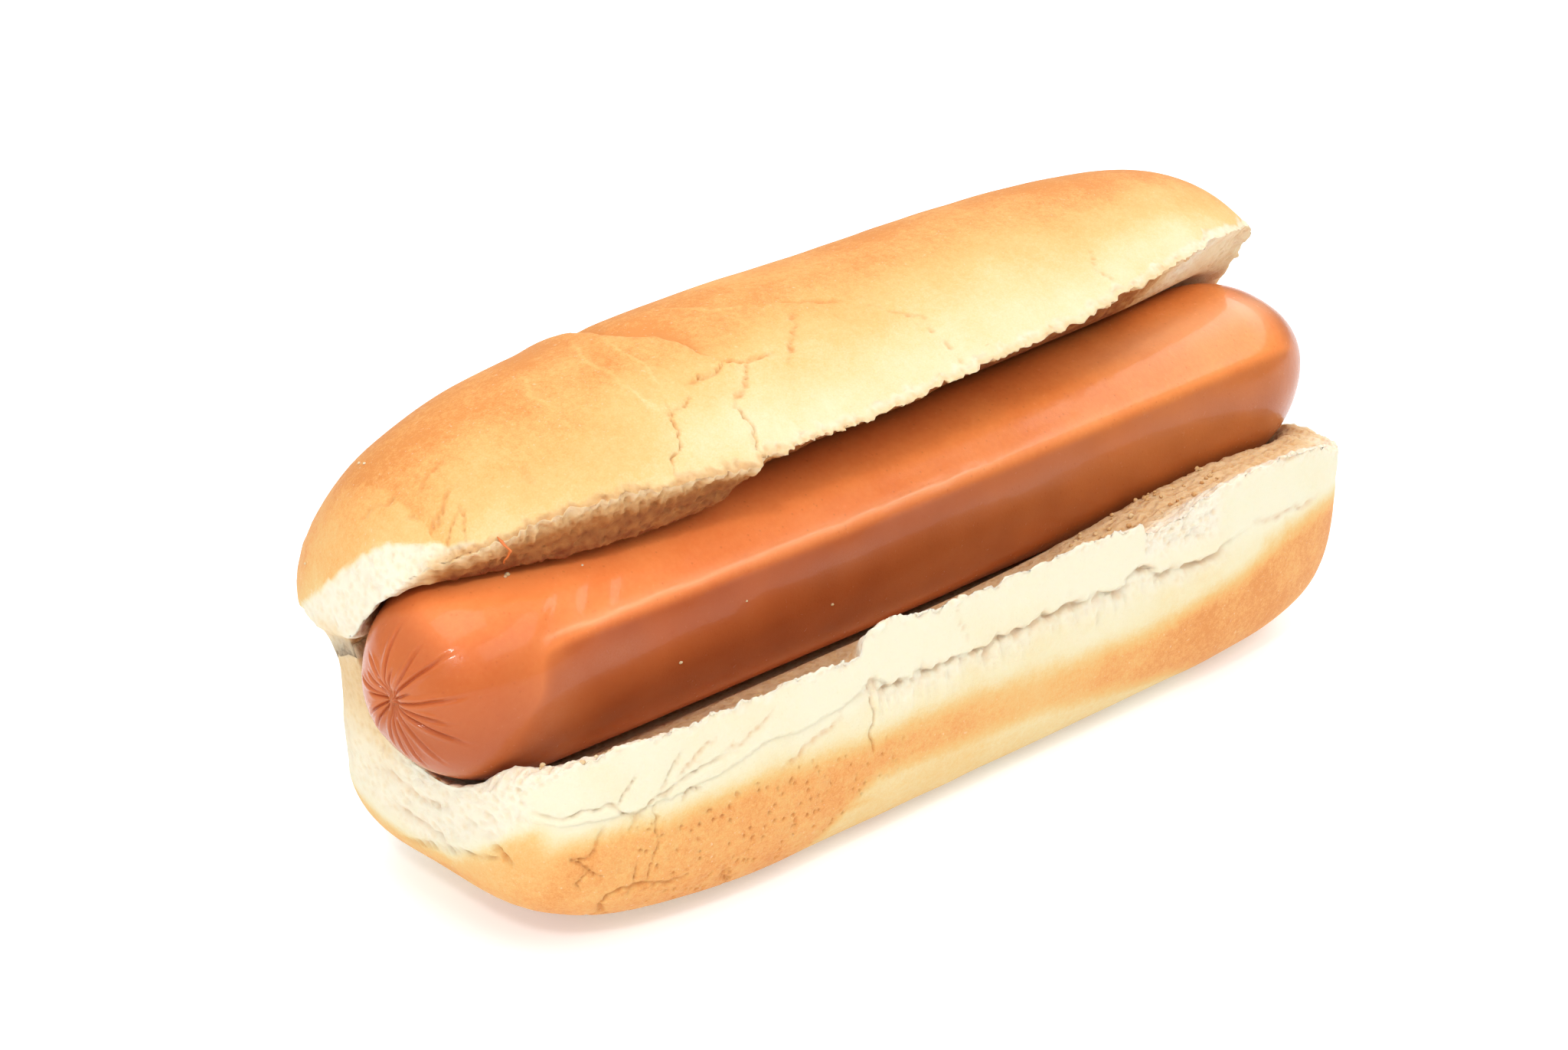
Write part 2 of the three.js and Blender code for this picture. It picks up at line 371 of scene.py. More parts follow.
def shadeSausage(obj, x, degrees, spot, onBody, welt):
    left, right = sausage["ends"]
    shade = sausageShade
    # Painted highlights: a broad band on the right top, where a window would be mirrored, and a thin line
    # along the ridge and its welt.
    paleBand = swell(degrees, *shade["pale"]) * ease(x, *shade["paleFrom"])
    paleBand = paleBand * fade(x, right - shade["paleTo"][0], right - shade["paleTo"][1])
    softRidge = 0.6 * bell(degrees - 146.5, 3.2) * onBody * (1 - 0.6 * ease(x, *shade["ridgeFade"]))

    # The front is browner skin. The underside is kept less brown: painted light where it lies in shade.
    frontStart = x - left - shade["frontStart"] + 0.15 * (degrees - 150) + 1.6 * lumps(spot, 3.2, 29)
    browned = ease(degrees, *shade["front"]) * (1 - 0.75 * ease(degrees, *shade["under"]))
    browned = browned * fade(degrees, *shade["back"]) * ease(frontStart, *shade["startBlend"])
    browned = browned * (0.92 + 0.12 * lumps(spot, 6, 27))
    # The left end cap is darker below its top, from browner skin and painted shade together. Its top, where
    # the light falls, is left lighter.
    endShade = 0.74 + 0.14 * ease(degrees, 165, 215) * fade(degrees, 290, 330)
    endShade = endShade * fade(x - left, *shade["endOut"])
    paleAt, paleWide = shade["endPale"]
    endShade = endShade * (1 - 0.8 * bell(degrees - paleAt, paleWide) * ease(x - left, 2, 6))
    # Painted shade on the right tip.
    tipShade = 1.1 * ease(x, right - shade["tip"][0], right - shade["tip"][1])
    tipShade = tipShade * ease(degrees, *shade["tipTop"]) * fade(degrees, *shade["tipBack"])

    # Painted reflection: a paler greyish band along the front, where the floor would be mirrored, and a
    # painted sheen patch on the left shoulder.
    hazy = bell(degrees - shade["haze"][0], shade["haze"][1]) * onBody
    hazy = hazy * (0.20 + 0.5 * lumps(spot * [0.4, 1, 1], 5, 28)) * fade(x, *shade["hazeEnd"])
    endHaze = 0.30 * bell(x + shade["endHazeAt"] + 0.13 * (degrees - 165), 3.0)
    endHaze = endHaze * ease(degrees, *shade["endHazeTop"]) * fade(degrees, *shade["endHazeLow"])
    writeValues(
        obj, ridge=np.maximum(np.maximum(softRidge, 1.2 * welt), paleBand),
        browned=np.maximum(np.maximum(browned, endShade), tipShade), hazy=np.maximum(hazy, endHaze),
    )


# the bun

slicing = {
    "pivotY": 16.0, "openAngle": 52.3, "openTwist": 6.0, "hingeSpread": 55.0,
    "lowerLipLift": 6.4, "upperLipDroop": 6.9, "endScale": 0.75, "creaseRecess": (10.0, 5.0),
    "foldDepth": 2.2, "foldSpread": 0.35, "foldStart": 4.0, "leftFold": (0.35, 0.80, 0.95),
    "hingeInset": (0.8, 6.0), "hingeInsetSpread": 0.4, "webSpread": 6.0,
    "pressGap": 0.25, "pressSharpness": 13,
}

mesh = {"rows": 400, "columns": 290, "endRows": 40, "stripRows": 8, "triangles": 197000, "weld": 0.006}

# Where the columns run round the loaf and where the rows run along it: share of them, and degrees or place.
columnPlan = [
    (0.0, -180), (0.06, -175), (0.30, -133), (0.36, -60), (0.42, -8), (0.47, 0), (0.52, 8), (0.58, 60),
    (0.64, 112), (0.93, 173), (1.0, 180),
]
rowPlan = [(0.0, -1), (0.07, -0.975), (0.58, -0.24), (0.93, 0.955), (1.0, 1)]


def upperShare(angle):
    return ease((angle / bun["halvesBlend"] + 1) / 2)


def endRound(angle, x):
    lower = np.where(x < 0, *bun["lowerEndRound"])
    upper = np.where(x < 0, *bun["upperEndRound"])
    return mix(lower, upper, upperShare(angle))


def sectionScale(angle, x):
    power = endRound(angle, x)
    return np.maximum(0, 1 - np.abs(x) ** power) ** (1 / power)


def stationAtScale(angle, scale, end):
    power = endRound(angle, end)
    return end * np.maximum(0, 1 - scale**power) ** (1 / power)


def sectionRadius(angle):
    below = superRadius(angle, bun["halfWidth"], bun["seamHeight"] + bun["flatCut"], bun["lowerSquareness"])
    above = superRadius(angle, bun["halfWidth"], bun["upperHeight"], bun["upperSquareness"])
    return np.where(angle < 0, below, above)


def scaleAt(y, z):
    return np.hypot(y, z) / sectionRadius(np.arctan2(z, y))


def crustPoint(angle, scale):
    radius = sectionRadius(angle) * scale
    return radius * np.cos(angle), radius * np.sin(angle)


def slicePoint(angle, scale, end):
    shortOf = np.where(end < 0, *slicing["creaseRecess"]) * ease((1 - scale) / (1 - slicing["endScale"]))
    return mix(slicing["pivotY"] - shortOf, -bun["halfWidth"] * scale, np.abs(angle) / pi)


def opened(x, y, z, side, left, right):
    dy = y - slicing["pivotY"]
    fromCut = np.abs(np.arctan2(z, dy)) * side
    spread = slicing["hingeSpread"]
    turned = ease((np.degrees(fromCut) + spread) / (2 * spread))
    angle = np.radians(slicing["openAngle"] + slicing["openTwist"] * x) * turned
    fromHinge = np.clip(-dy / (slicing["pivotY"] + bun["halfWidth"]), 0, 1)
    arch = (1 - x * x) * fromHinge
    lift = slicing["lowerLipLift"] * arch * np.clip(1 + z / bun["seamHeight"], 0, 1) * (1 - turned)
    droop = slicing["upperLipDroop"] * arch * np.clip(1 - z / bun["upperHeight"], 0, 1) * turned
    fold = slicing["foldDepth"] * bell(fromCut, slicing["foldSpread"])
    fold = fold * np.clip(dy / slicing["foldStart"], 0, 1)
    less, start, end = slicing["leftFold"]
    fold = fold * (1 - less * ease(-x, start, end))
    return np.stack([
        mix(left, right, (x + 1) / 2),
        slicing["pivotY"] + (dy - fold) * np.cos(angle) + (z - droop) * np.sin(angle),
        bun["seamHeight"] - (dy - fold) * np.sin(angle) + (z - droop) * np.cos(angle) + lift,
    ], -1)


# Moves crumb out of the sausage's way, and what is further off ever less.
def pressed(points, gap):
    x, y, z = points.T
    axisY, axisZ = sausageAxis(x)
    room = sausageSection(np.arctan2(z - axisZ, y - axisY)) * sausageTaper(x) + gap
    away = np.maximum(np.hypot(y - axisY, z - axisZ), 1e-6)
    power = slicing["pressSharpness"]
    grown = (away**power + room**power) ** (1 / power) / away
    grown = np.where((x < sausage["ends"][0]) | (x > sausage["ends"][1]), 1, grown)
    return np.stack([x, axisY + (y - axisY) * grown, axisZ + (z - axisZ) * grown], -1)


# From loaf space to the opened bun. Web says how much of the hinge's wall is spread over columns.
def placed(x, y, z, angle, web):
    inset = np.where(x < 0, *slicing["hingeInset"]) * bell(angle, slicing["hingeInsetSpread"])
    share = upperShare(angle)
    left = mix(bun["lowerEnds"][0], bun["upperEnds"][0], share) + inset
    right = mix(bun["lowerEnds"][1], bun["upperEnds"][1], share) - inset
    upper = np.clip((np.degrees(angle) / (slicing["webSpread"] * web + 1e-4) + 1) / 2, 0, 1)[:, None]
    both = mix(opened(x, y, z, -1, left, right), opened(x, y, z, 1, left, right), upper)
    return onTable(pressed(both, slicing["pressGap"]))


def onTable(points):
    points[:, 2] = np.maximum(points[:, 2], 0)
    return points


loafValues = ("x", "y", "z", "angle", "web", "skin", "rim")


# A closed skin from six sheets: crust, cut faces, two strips on from them, and two end faces.
def makeLoaf():
    crustSheet, cutSheet, leftStrip, rightStrip, leftEnd, rightEnd = range(6)
    rows = [mesh["rows"]] * 2 + [mesh["stripRows"]] * 2 + [mesh["endRows"]] * 2
    selectNothing()
    for level in (crustSheet, cutSheet, leftStrip, rightStrip, leftEnd, rightEnd):
        bpy.ops.mesh.primitive_grid_add(
            x_subdivisions=rows[level], y_subdivisions=mesh["columns"], size=1, location=(0, 0, level))
        if level == crustSheet:
            obj = takeNew("bunLoaf")
            bpy.ops.object.mode_set(mode="EDIT")
    bpy.ops.object.mode_set(mode="OBJECT")

    flat = readVertices(obj, "co")
    sheet = np.rint(flat[:, 2]).astype(int)
    part, column = flat[:, 0] + 0.5, flat[:, 1] + 0.5
    angle = np.radians(np.interp(column, *zip(*columnPlan)))
    angle[np.abs(column - 0.5) < 1e-5] = 0
    endScale = slicing["endScale"]

    end = np.where(np.isin(sheet, (leftStrip, leftEnd)), -1.0, 1.0)
    sideX = np.interp(part, *zip(*rowPlan))
    sideX = sideX * np.abs(stationAtScale(angle, endScale, np.where(sideX < 0, -1.0, 1.0)))
    sideScale = sectionScale(angle, sideX)
    crustY, crustZ = crustPoint(angle, sideScale)
    sliceY = slicePoint(angle, sideScale, sideX)

    innerY = slicePoint(angle, endScale, end)
    outerY, outerZ = crustPoint(angle, endScale)
    fromX = stationAtScale(angle, endScale, end)
    stripX = mix(fromX, stationAtScale(angle, scaleAt(innerY, 0 * innerY), end), part)
    endY, endZ = mix(outerY, innerY, part), mix(outerZ, 0, part)
    endX = stationAtScale(angle, scaleAt(endY, endZ), end)

    isCrust, isCut = sheet == crustSheet, sheet == cutSheet
    isStrip = np.isin(sheet, (leftStrip, rightStrip))
    x = np.where(isCrust | isCut, sideX, np.where(isStrip, stripX, endX))
    y = np.where(isCrust, crustY, np.where(isCut, sliceY, np.where(isStrip, innerY, endY)))
    z = np.where(isCrust, crustZ, np.where(isCut | isStrip, 0, endZ))
    web = np.where(isCrust, 0, np.where(isCut | isStrip, 1, part))

    skin = np.where(isCut | isStrip, 0.0, 1.0)
    skin[(isCut & (np.abs(np.degrees(angle)) > 179.9)) | (isStrip & (part > 0.999))] = 1
    halfLength = (bun["upperEnds"][1] - bun["upperEnds"][0]) / 2
    endStation = stationAtScale(angle, np.minimum(scaleAt(y, z), 1), np.where(x < 0, -1.0, 1.0))
    endGap = np.abs(endStation - x) * halfLength
    sideGap = y + bun["halfWidth"] * sectionScale(angle, x)
    rim = np.where(skin > 0.5, np.abs(z), np.clip(np.minimum(endGap, sideGap), 0, 99))

    writeValues(obj, **dict(zip(loafValues, (x, y, z, angle, web, skin, rim))))
    writePoints(obj, placed(x, y, z, angle, web) * mm)
    closeSkin(obj, mesh["weld"] * mm)
    print("loaf:", len(obj.data.polygons), "faces")
    return obj


# Ups and downs of the two lips along x, in millimetres: steps where skin came off with the neighbour.
lowerLipLine = [
    (-73, -2.2), (-69, -1.2), (-66, 0.6), (-62.5, 1.2), (-58, 1.7), (-54.5, 1.4), (-51, 0.8),
    (-47, 1.0), (-43, 0.6), (-39, 0.1), (-31.6, -0.1), (-27, -0.8), (-25.2, -1.0), (-24.7, 1.2),
    (-20, 1.6), (-16, 0.8), (-10, 0.1), (-3, 0.2), (5.4, 0.3), (14, 0.4), (21.6, 0.3), (22.3, -0.9),
    (29, -0.3), (33.5, 1.2), (37, 2.2), (45, 3.2), (52, 3.8), (58, 3.2), (62, 2.2), (66, 1.2),
]
upperLipLine = [
    (-72, 0), (-68.8, -0.3), (-66, -0.3), (-63.4, 0.1), (-60, -0.2), (-57, -0.4), (-52, -0.7),
    (-46, -0.1), (-42.6, 0.2), (-38, 0.4), (-33.5, 0.6), (-31.6, 1.3), (-30.8, 0.4), (-25, 0.3),
    (-20, 0.3), (-10, 0.4), (-6, 0.2), (2, 0.1), (10, -0.2), (16, 0.2), (26, 0.2), (40, 0.1), (62, 0),
]

# How deep each cut face is hollowed behind its lip, along x, and over how many millimetres.
lowerHollow = [
    (-73, -4.4), (-69.5, -4.2), (-67, -2.6), (-64.5, -0.6), (-61, 0.8), (-56, 2.4), (-50, 3.6),
    (-44, 4.6), (-38, 5.2), (-28, 5.8), (-8, 6.4), (4, 5.8), (12, 4.6), (20, 3.4), (30, 1.6), (38, 0.4),
    (46, -0.6), (60, -1.4),
]
upperHollow = [
    (-73, -0.4), (-66, -2.4), (-50, -2.6), (-40, -2.3), (-33, -1.8), (-29, -0.2), (-24, 1.0),
    (-12, 1.6), (4, 1.6), (12, 2.2), (30, 1.8), (45, 1.0), (62, 0.6),
]
hollowSpan = [(-73, 6.5), (-33, 6.0), (-26, 3.5), (66, 3.5)]

# The seam that was torn from the next bun: x and millimetres below the lower lip.
seamLine = [
    (-70, 3.4), (-67.3, 4.2), (-63, 5.4), (-58, 6.1), (-52.5, 6.3), (-45, 6.0), (-39, 4.9),
    (-33.4, 5.7), (-26.5, 4.8), (-23.8, 3.9), (-20, 5.2), (-10, 5.7), (-2.5, 5.4), (6.6, 5.1),
    (16, 5.4), (21.4, 4.9), (28, 5.6), (35.9, 5.4), (44.8, 3.2), (52, 2.8), (60, 2.5), (66, 2.2),
]

# The browned band low on the front: where it starts and where it ends below the lip.
tanTop = [
    (-72, 14.5), (-69.8, 12.6), (-68, 10.4), (-66, 8.4), (-63, 7.4), (-57, 7.2), (-53.4, 7.8),
    (-45, 8.2), (-37.4, 8.2), (-25.5, 9.4), (-16.3, 9.4), (-1.7, 10.3), (16.5, 11.2), (23.5, 11.6),
    (41.8, 8.9), (51.8, 5.6), (60.9, 4.2), (68, 4.0),
]
tanEnd = [
    (-40, 34), (-31, 22), (-22.3, 15.0), (-10.6, 15.6), (4.7, 16.6), (19, 18.0), (34, 20), (46, 24),
    (52, 34),
]

# Folds and cracks of the upper crust: x and millimetres up from the lip, then width, depth and the darkness
# of painted shade in them.
topFold = [
    (-35.6, 36), (-34.8, 30), (-34.2, 26), (-34.0, 22.4), (-34.0, 20.6), (-32.7, 18.6), (-30.3, 17.3),
    (-29.3, 15.9), (-28.2, 13.7), (-27.5, 12.2), (-26.6, 10.9),
]
paleLines = [
    [(-37.9, 22.2), (-39.4, 18.8), (-39.9, 17.5), (-39.6, 13.1)],
    [(-35.2, 20.0), (-36.0, 16.0), (-35.3, 13.1), (-36.0, 10.0)],
    [(-39.8, 12.6), (-39.0, 9.6), (-38.4, 7.4)],
    [(-46.5, 20.0), (-49.0, 16.0), (-48.6, 12.6)],
    [(-24.0, 22.0), (-20.4, 17.6), (-16.0, 16.2)],
]
flakeEdge = [(-27.6, 11.0), (-26.9, 10.4), (-27.6, 9.8), (-29.7, 9.7), (-31.0, 10.0),
             (-31.8, 9.4), (-33.8, 9.5)]
topCracks = [
    ([(-26.9, 11.1), (-25.3, 10.2), (-24.1, 9.2), (-21.5, 9.6), (-20.2, 9.2)], 0.22, 0.40, 0.9),
    ([(-24.1, 9.2), (-25.2, 8.4), (-26.7, 7.2), (-29.8, 5.6)], 0.24, 0.30, 0.9),
    ([(-29.8, 5.6), (-29.0, 4.9), (-29.3, 4.1), (-29.1, 3.1), (-30.1, 1.7), (-30.6, 1.2),
      (-30.8, 0)], 0.17, 0.55, 0.9),
    ([(-33.9, 7.9), (-35.0, 7.3), (-37.2, 6.9), (-38.0, 7.0)], 0.20, 0.45, 0.9),
    ([(-37.3, 8.1), (-37.2, 6.9), (-37.9, 6.3), (-37.8, 5.2), (-38.9, 4.2), (-39.2, 3.4), (-40.6, 2.6),
      (-41.8, 0.8)], 0.16, 0.42, 0.9),
    ([(-11.5, 13.6), (-14.2, 12.2), (-13.9, 11.6), (-16.6, 9.9), (-17.2, 9.2),
      (-19.4, 7.7)], 0.24, 0.26, 0.9),
    ([(-12.8, 15.2), (-10.8, 14.4), (-7.3, 12.7), (-5.5, 12.5)], 0.20, 0.34, 0.9),
    ([(-3.3, 10.4), (1.9, 7.1), (1.3, 4.9), (1.9, 2.5), (2.6, 0.6)], 0.16, 0.20, 0.9),
    ([(-69.5, 12.0), (-66.8, 11.2), (-65.4, 9.6), (-63.0, 9.9)], 0.36, 0.40, 0.5),
    ([(-67.9, 8.6), (-66.6, 7.4), (-65.6, 7.8), (-64.2, 7.0)], 0.26, 0.34, 0.5),
    ([(-66.0, 14.5), (-63.6, 14.0), (-61.6, 14.8)], 0.36, 0.26, 0.5),
    ([(-64.0, 7.2), (-63.9, 5.9), (-65.2, 4.4)], 0.24, 0.30, 0.5),
    ([(-56.0, 8.0), (-56.6, 6.4), (-56.3, 5.0)], 0.4, 0.16, 0.3),
    ([(32.0, 6.4), (30.6, 3.8), (31.4, 1.6)], 0.2, 0.16, 0.9),
]

# Cracks of the front wall: x and millimetres down from the lip.
wallCracks = [
    ([(-24.0, 4.2), (-23.8, 6.0), (-23.1, 8.0), (-23.4, 9.8), (-22.8, 11.8)], 0.20, 0.40, 0.9),
    ([(-53.3, 6.3), (-53.1, 8.4), (-53.4, 10.4), (-54.0, 14.0), (-53.9, 15.8)], 0.14, 0.30, 0.5),
    ([(-66.0, 3.2), (-63.2, 4.4), (-61.1, 4.5), (-59.3, 4.3), (-57.6, 5.3), (-56.2, 6.8), (-54.3, 7.1)],
     0.20, 0.40, 0.5),
    ([(-50.0, 7.2), (-48.9, 6.5), (-47.2, 6.7)], 0.20, 0.34, 0.9),
    ([(-55.7, 2.4), (-56.8, 3.7), (-58.0, 5.2)], 0.26, 0.32, 0.5),
    ([(-49.9, 1.8), (-51.3, 3.3), (-52.9, 5.0)], 0.26, 0.30, 0.5),
    ([(-42.6, 4.2), (-47.5, 4.5), (-52.6, 5.4), (-55.0, 6.6), (-56.4, 8.0)], 0.24, 0.40, 0.5),
    ([(-46.0, 2.0), (-48.4, 3.0), (-50.6, 4.4)], 0.22, 0.18, 0.9),
    ([(-59.2, 7.0), (-60.4, 9.0), (-61.3, 9.6), (-62.8, 9.4)], 0.20, 0.40, 0.5),
    ([(-62.6, 9.3), (-61.8, 10.2), (-60.8, 11.7), (-59.4, 12.6)], 0.24, 0.50, 0.5),
    ([(-60.8, 11.4), (-62.0, 12.4), (-61.4, 13.6)], 0.18, 0.30, 0.5),
    ([(-55.6, 12.0), (-55.4, 14.6), (-55.8, 16.4)], 0.22, 0.30, 0.5),
    ([(-57.8, 22.0), (-57.5, 18.3), (-58.5, 16.6), (-58.0, 15.5), (-56.6, 14.8), (-53.5, 15.4),
      (-48.6, 16.4)], 0.26, 0.56, 0.9),
    ([(-43.8, 17.0), (-43.2, 18.6), (-41.6, 19.4), (-40.9, 21.5)], 0.30, 0.50, 0.9),
    ([(-38.0, 2.2), (-41.0, 3.4), (-44.6, 3.9)], 0.22, 0.14, 0.9),
    ([(-28.0, 6.2), (-32.0, 7.4), (-37.0, 8.4)], 0.30, 0.18, 0.9),
    ([(-9.6, 0.2), (-9.2, 2.2), (-8.6, 4.4)], 0.14, 0.22, 0.9),
    ([(43.6, 3.4), (47.0, 4.0), (50.5, 3.3), (54.7, 3.9), (58.3, 3.4)], 0.36, 0.22, 0.9),
]

# Strata of the torn left end: how far they run across it, and their height over the table.
endCracks = [
    ([(5.0, 13.8), (2.5, 13.4), (-1.3, 13.1), (-5.0, 12.5)], 0.42, 0.55, 0.9),
    ([(4.0, 8.8), (2.1, 9.4), (-1.5, 10.8), (-5.7, 11.9), (-9.9, 12.9),
      (-13.5, 14.2)], 0.26, 0.50, 0.9),
    ([(-12.0, 16.4), (-13.6, 14.6), (-14.6, 13.4)], 0.36, 0.60, 0.9),
    ([(-6.0, 7.4), (-2.4, 8.0), (0.4, 7.2)], 0.24, 0.30, 0.9),
    ([(6.6, 17.0), (3.4, 17.6), (-1.6, 16.4), (-6.0, 17.2)], 0.36, 0.36, 0.9),
]

# How brown the upper half is, by millimetres up from its lip.
browning = {
    "left": [
        (0, 0.40), (2, 0.46), (5, 0.54), (8, 0.64), (11, 0.74), (14, 0.83), (17, 0.90), (21, 0.95),
        (30, 0.96), (44, 0.90), (54, 0.80), (64, 0.62), (76, 0.40),
    ],
    "right": [
        (0, 0.22), (3, 0.24), (5, 0.33), (7, 0.43), (9, 0.51), (11, 0.61), (13, 0.73), (16, 0.85),
        (20, 0.91), (26, 0.93), (36, 0.90), (50, 0.80), (62, 0.62), (76, 0.40),
    ],
}

# On the left end, in loaf space: how high the bare white patch of the upper half reaches, and how far down
# the bare part of the lower half does.
whitePatch = [
    (-21, -0.4), (-17.3, 1.2), (-14.3, 3.2), (-11.7, 5.1), (-6.6, 5.9), (-3.4, 6.2), (1.2, 6.5),
    (5.0, 7.1), (14, 7.2),
]
endTan = [
    (-21, 5.6), (-17, 5.6), (-14.2, 7.0), (-12, 8.4), (-8, 10.9), (-5.9, 12.2), (0.3, 12.9),
    (2.8, 13.4), (5.1, 12.9), (12, 11.5), (21, 9),
]

# Ragged lips: noise along the edge (height, size, seed), its share in each lip, and how far it reaches.
lips = {
    "stretch": (1, 0.3, 0.3), "jags": ((0.34, 2.6, 31), (0.28, 1.1, 32), (0.22, 0.55, 33)), "near": 7,
    "lowerJag": 1.25, "upperJag": 1.5, "hangOutside": 2.6, "hangInside": 3.4, "hollowEnd": (12, 22),
    "lowerSpan": (6.5, 2.6), "lowerSpanFrom": (57, 63), "fromHinge": (8, 40),
}
notch = {"height": 25.5, "tall": 6, "left": (58, 70), "back": (1, 9), "rise": 4.4}

crust = {
    "lumps": ((0.32, 24, 4), (0.13, 8, 6)), "wobble": ((0.55, 2.4, 41), (0.30, 0.8, 42)),
    "patches": ((0.10, 14, 91), (0.065, 4.5, 92), (0.03, 1.3, 93)),
    "pitCell": 1.25, "pitDepth": 0.32, "pitDark": 0.42, "clearance": 0.14,
}

# Heights, widths and places of what runs beside the fold, the flake's edge and the torn seam. The dark shares
# are painted shade, and the fold's paler share is a painted highlight.
foldShape = {
    "fallen": (-1.05, 3.4), "lip": (0.34, 2.4, 1.4), "line": (0.40, 0.40), "lineDark": (0.95, 0.42),
    "sideDark": (0.45, 1.1, 0.7), "browner": (0.30, 2.6, 0.3), "paler": (-0.08, 1.6, 1.0),
}
flakeShape = {"under": (-0.10, 2.6), "cut": (0.28, 0.35), "over": (0.30, 1.5), "dark": (0.9, 0.30)}
seamShape = {
    "torn": (-27, -21, 34, 42), "near": 6, "reach": (-34, 48), "pocket": (0.45, 0.65),
    "line": (0.16, 0.45, 0.2),
    "start": (-70, -60), "end": (36, 46), "pulled": (1.0, 1.2),
}

# Crumb: height, size and seed of its lumps, depth and size of its bubbles, and how far in it is worked out.
crumbShape = {
    "lumps": ((0.34, 3.4, 89), (0.20, 1.5, 89), (0.12, 0.7, 90)), "bubbles": ((1.5, 0.24), (0.85, 0.17)),
    "bubbleSeed": 6, "bubbleDark": 0.26, "lowerDepth": 13, "upperDepth": 11, "fadeOver": 3,
}


# Depth of cracks and the painted shade in them, given in the plane that points are in.
def crackField(points, cracks):
    depth, dark = np.zeros(len(points)), np.zeros(len(points))
    for path, wide, deep, darkness in cracks:
        away, share, side = toPath(points, path)
        out = np.clip(4 * share + 0.35, 0, 1) * np.clip(4 * (1 - share) + 0.35, 0, 1)
        line = bell(away, wide) * out * (1 + 0.35 * np.sin(share * 37 + wide * 90))
        depth = np.maximum(depth, deep * line - 0.10 * bell(away - 3 * wide, 2 * wide) * out)
        dark = np.maximum(dark, darkness * line)
    return depth, dark


# Angle from the lip, and millimetres along the crust from there, for the upper half.
def arcFromLip():
    turns = np.linspace(0, pi, 361)
    radius = sectionRadius(pi - turns)
    step = np.hypot(np.diff(radius * np.cos(turns)), np.diff(radius * np.sin(turns)))
    return turns, np.concatenate([[0], np.cumsum(step)])


# Raises the loaf by so much where the places are, and paints shade into its grooves.
def work(loaf, where, raised=None, dark=None):
    if raised is not None:
        loaf.raised += np.where(where, raised, 0)
    if dark is not None:
        loaf.groove = np.maximum(loaf.groove, np.where(where, dark, 0))


# Torn, crumbly lips: both sides of the edge move together, across the slice.
def tearLips(loaf):
    frameX, rim, lower = loaf.frameX, loaf.rim, loaf.lower
    jag = layered(loaf.points * lips["stretch"], lips["jags"], rim < lips["near"])
    fromHinge = ease(np.abs(np.degrees(loaf.angle)), *lips["fromHinge"])
    lowerRag = along(lowerLipLine, frameX) + lips["lowerJag"] * jag
    upperRag = along(upperLipLine, frameX) + lips["upperJag"] * jag
    ragged = np.where(lower, lowerRag, -upperRag) * fromHinge
    hang = np.where(loaf.onSkin, bell(rim, lips["hangOutside"]), bell(rim, lips["hangInside"]))
    lowerSpan = mix(*lips["lowerSpan"], ease(-frameX, *lips["lowerSpanFrom"]))
    span = np.where(lower, lowerSpan, along(hollowSpan, frameX))
    scooped = np.where(loaf.onSkin, 0, np.clip(rim / span, 0, 1) * fade(rim, *lips["hollowEnd"])) * fromHinge
    hollow = np.where(lower, -along(lowerHollow, frameX), along(upperHollow, frameX))
    loaf.z = loaf.z + ragged * hang + hollow * scooped


# The fold across the upper crust, pale stretch lines and a lifted flake beside it, with painted shade in the
# fold's valley and under the flake's edge, and a painted highlight on the fold's lip.
def foldTop(loaf):
    onTop, shape = loaf.onTop, foldShape
    away, share, side = toPath(loaf.topPlane, topFold)
    strength = ease(1 - share, 0.0, 0.5)
    fold = np.where(side > 0, swell(away, *shape["fallen"]), swell(away, *shape["lip"])) * strength
    work(loaf, onTop, fold - swell(away, *shape["line"]) * ease(1 - share, 0, 0.2))
    paler = swell(away, *shape["paler"]) * strength * onTop
    loaf.tint = np.where(onTop & (side > 0), swell(away, *shape["browner"]) * strength, paler)
    dark = swell(away, *shape["lineDark"]) + swell(away, *shape["sideDark"]) * (side > 0)
    work(loaf, onTop, dark=dark * ease(1 - share, 0, 0.3))
    for path in paleLines:
        away, share, side = toPath(loaf.topPlane, path)
        pale = bell(away, 0.28) * np.clip(4 * share + 0.3, 0, 1) * np.clip(4 * (1 - share) + 0.3, 0, 1)
        work(loaf, onTop, 0.09 * pale)
        loaf.tint -= np.where(onTop, 0.16 * pale, 0)

    away, share, side = toPath(loaf.topPlane, flakeEdge)
    under = swell(away, *flakeShape["under"]) - swell(away, *flakeShape["cut"])
    out = ease(share, 0, 0.06) * ease(1 - share, 0, 0.25)
    work(loaf, onTop, np.where(side > 0, under, swell(away, *flakeShape["over"])) * out)
    work(loaf, onTop & (side > 0), dark=swell(away, *flakeShape["dark"]) * out)


# Cracks with painted shade in them, and fine wrinkles where the crust was bent: right of the fold, and at the
# left end.
def crackCrust(loaf):
    for where, plane, cracks, darkShare in (
        (loaf.onTop, loaf.topPlane, topCracks, 0.85), (loaf.onWall, loaf.wallPlane, wallCracks, 0.75),
    ):
        depth, dark = crackField(plane, cracks)
        work(loaf, where, -depth, dark * darkShare)
    frameX, up, onTop = loaf.frameX, loaf.up, loaf.onTop
    wrinkled = bell(frameX + 16, 8) * bell(up - 15, 6) + 0.8 * bell(frameX + 66, 6) * bell(up - 12, 7)
    wrinkled = np.where(onTop, wrinkled + 0.35 * bell(frameX + 48, 10) * bell(up - 12, 6), 0)
    folds = 1 - np.abs(lumps(loaf.points * [1, 0.55, 0.55], 2.2, 51, onTop)) * 3.2
    loaf.raised += 0.16 * wrinkled * np.clip(folds, -0.2, 1) * onTop
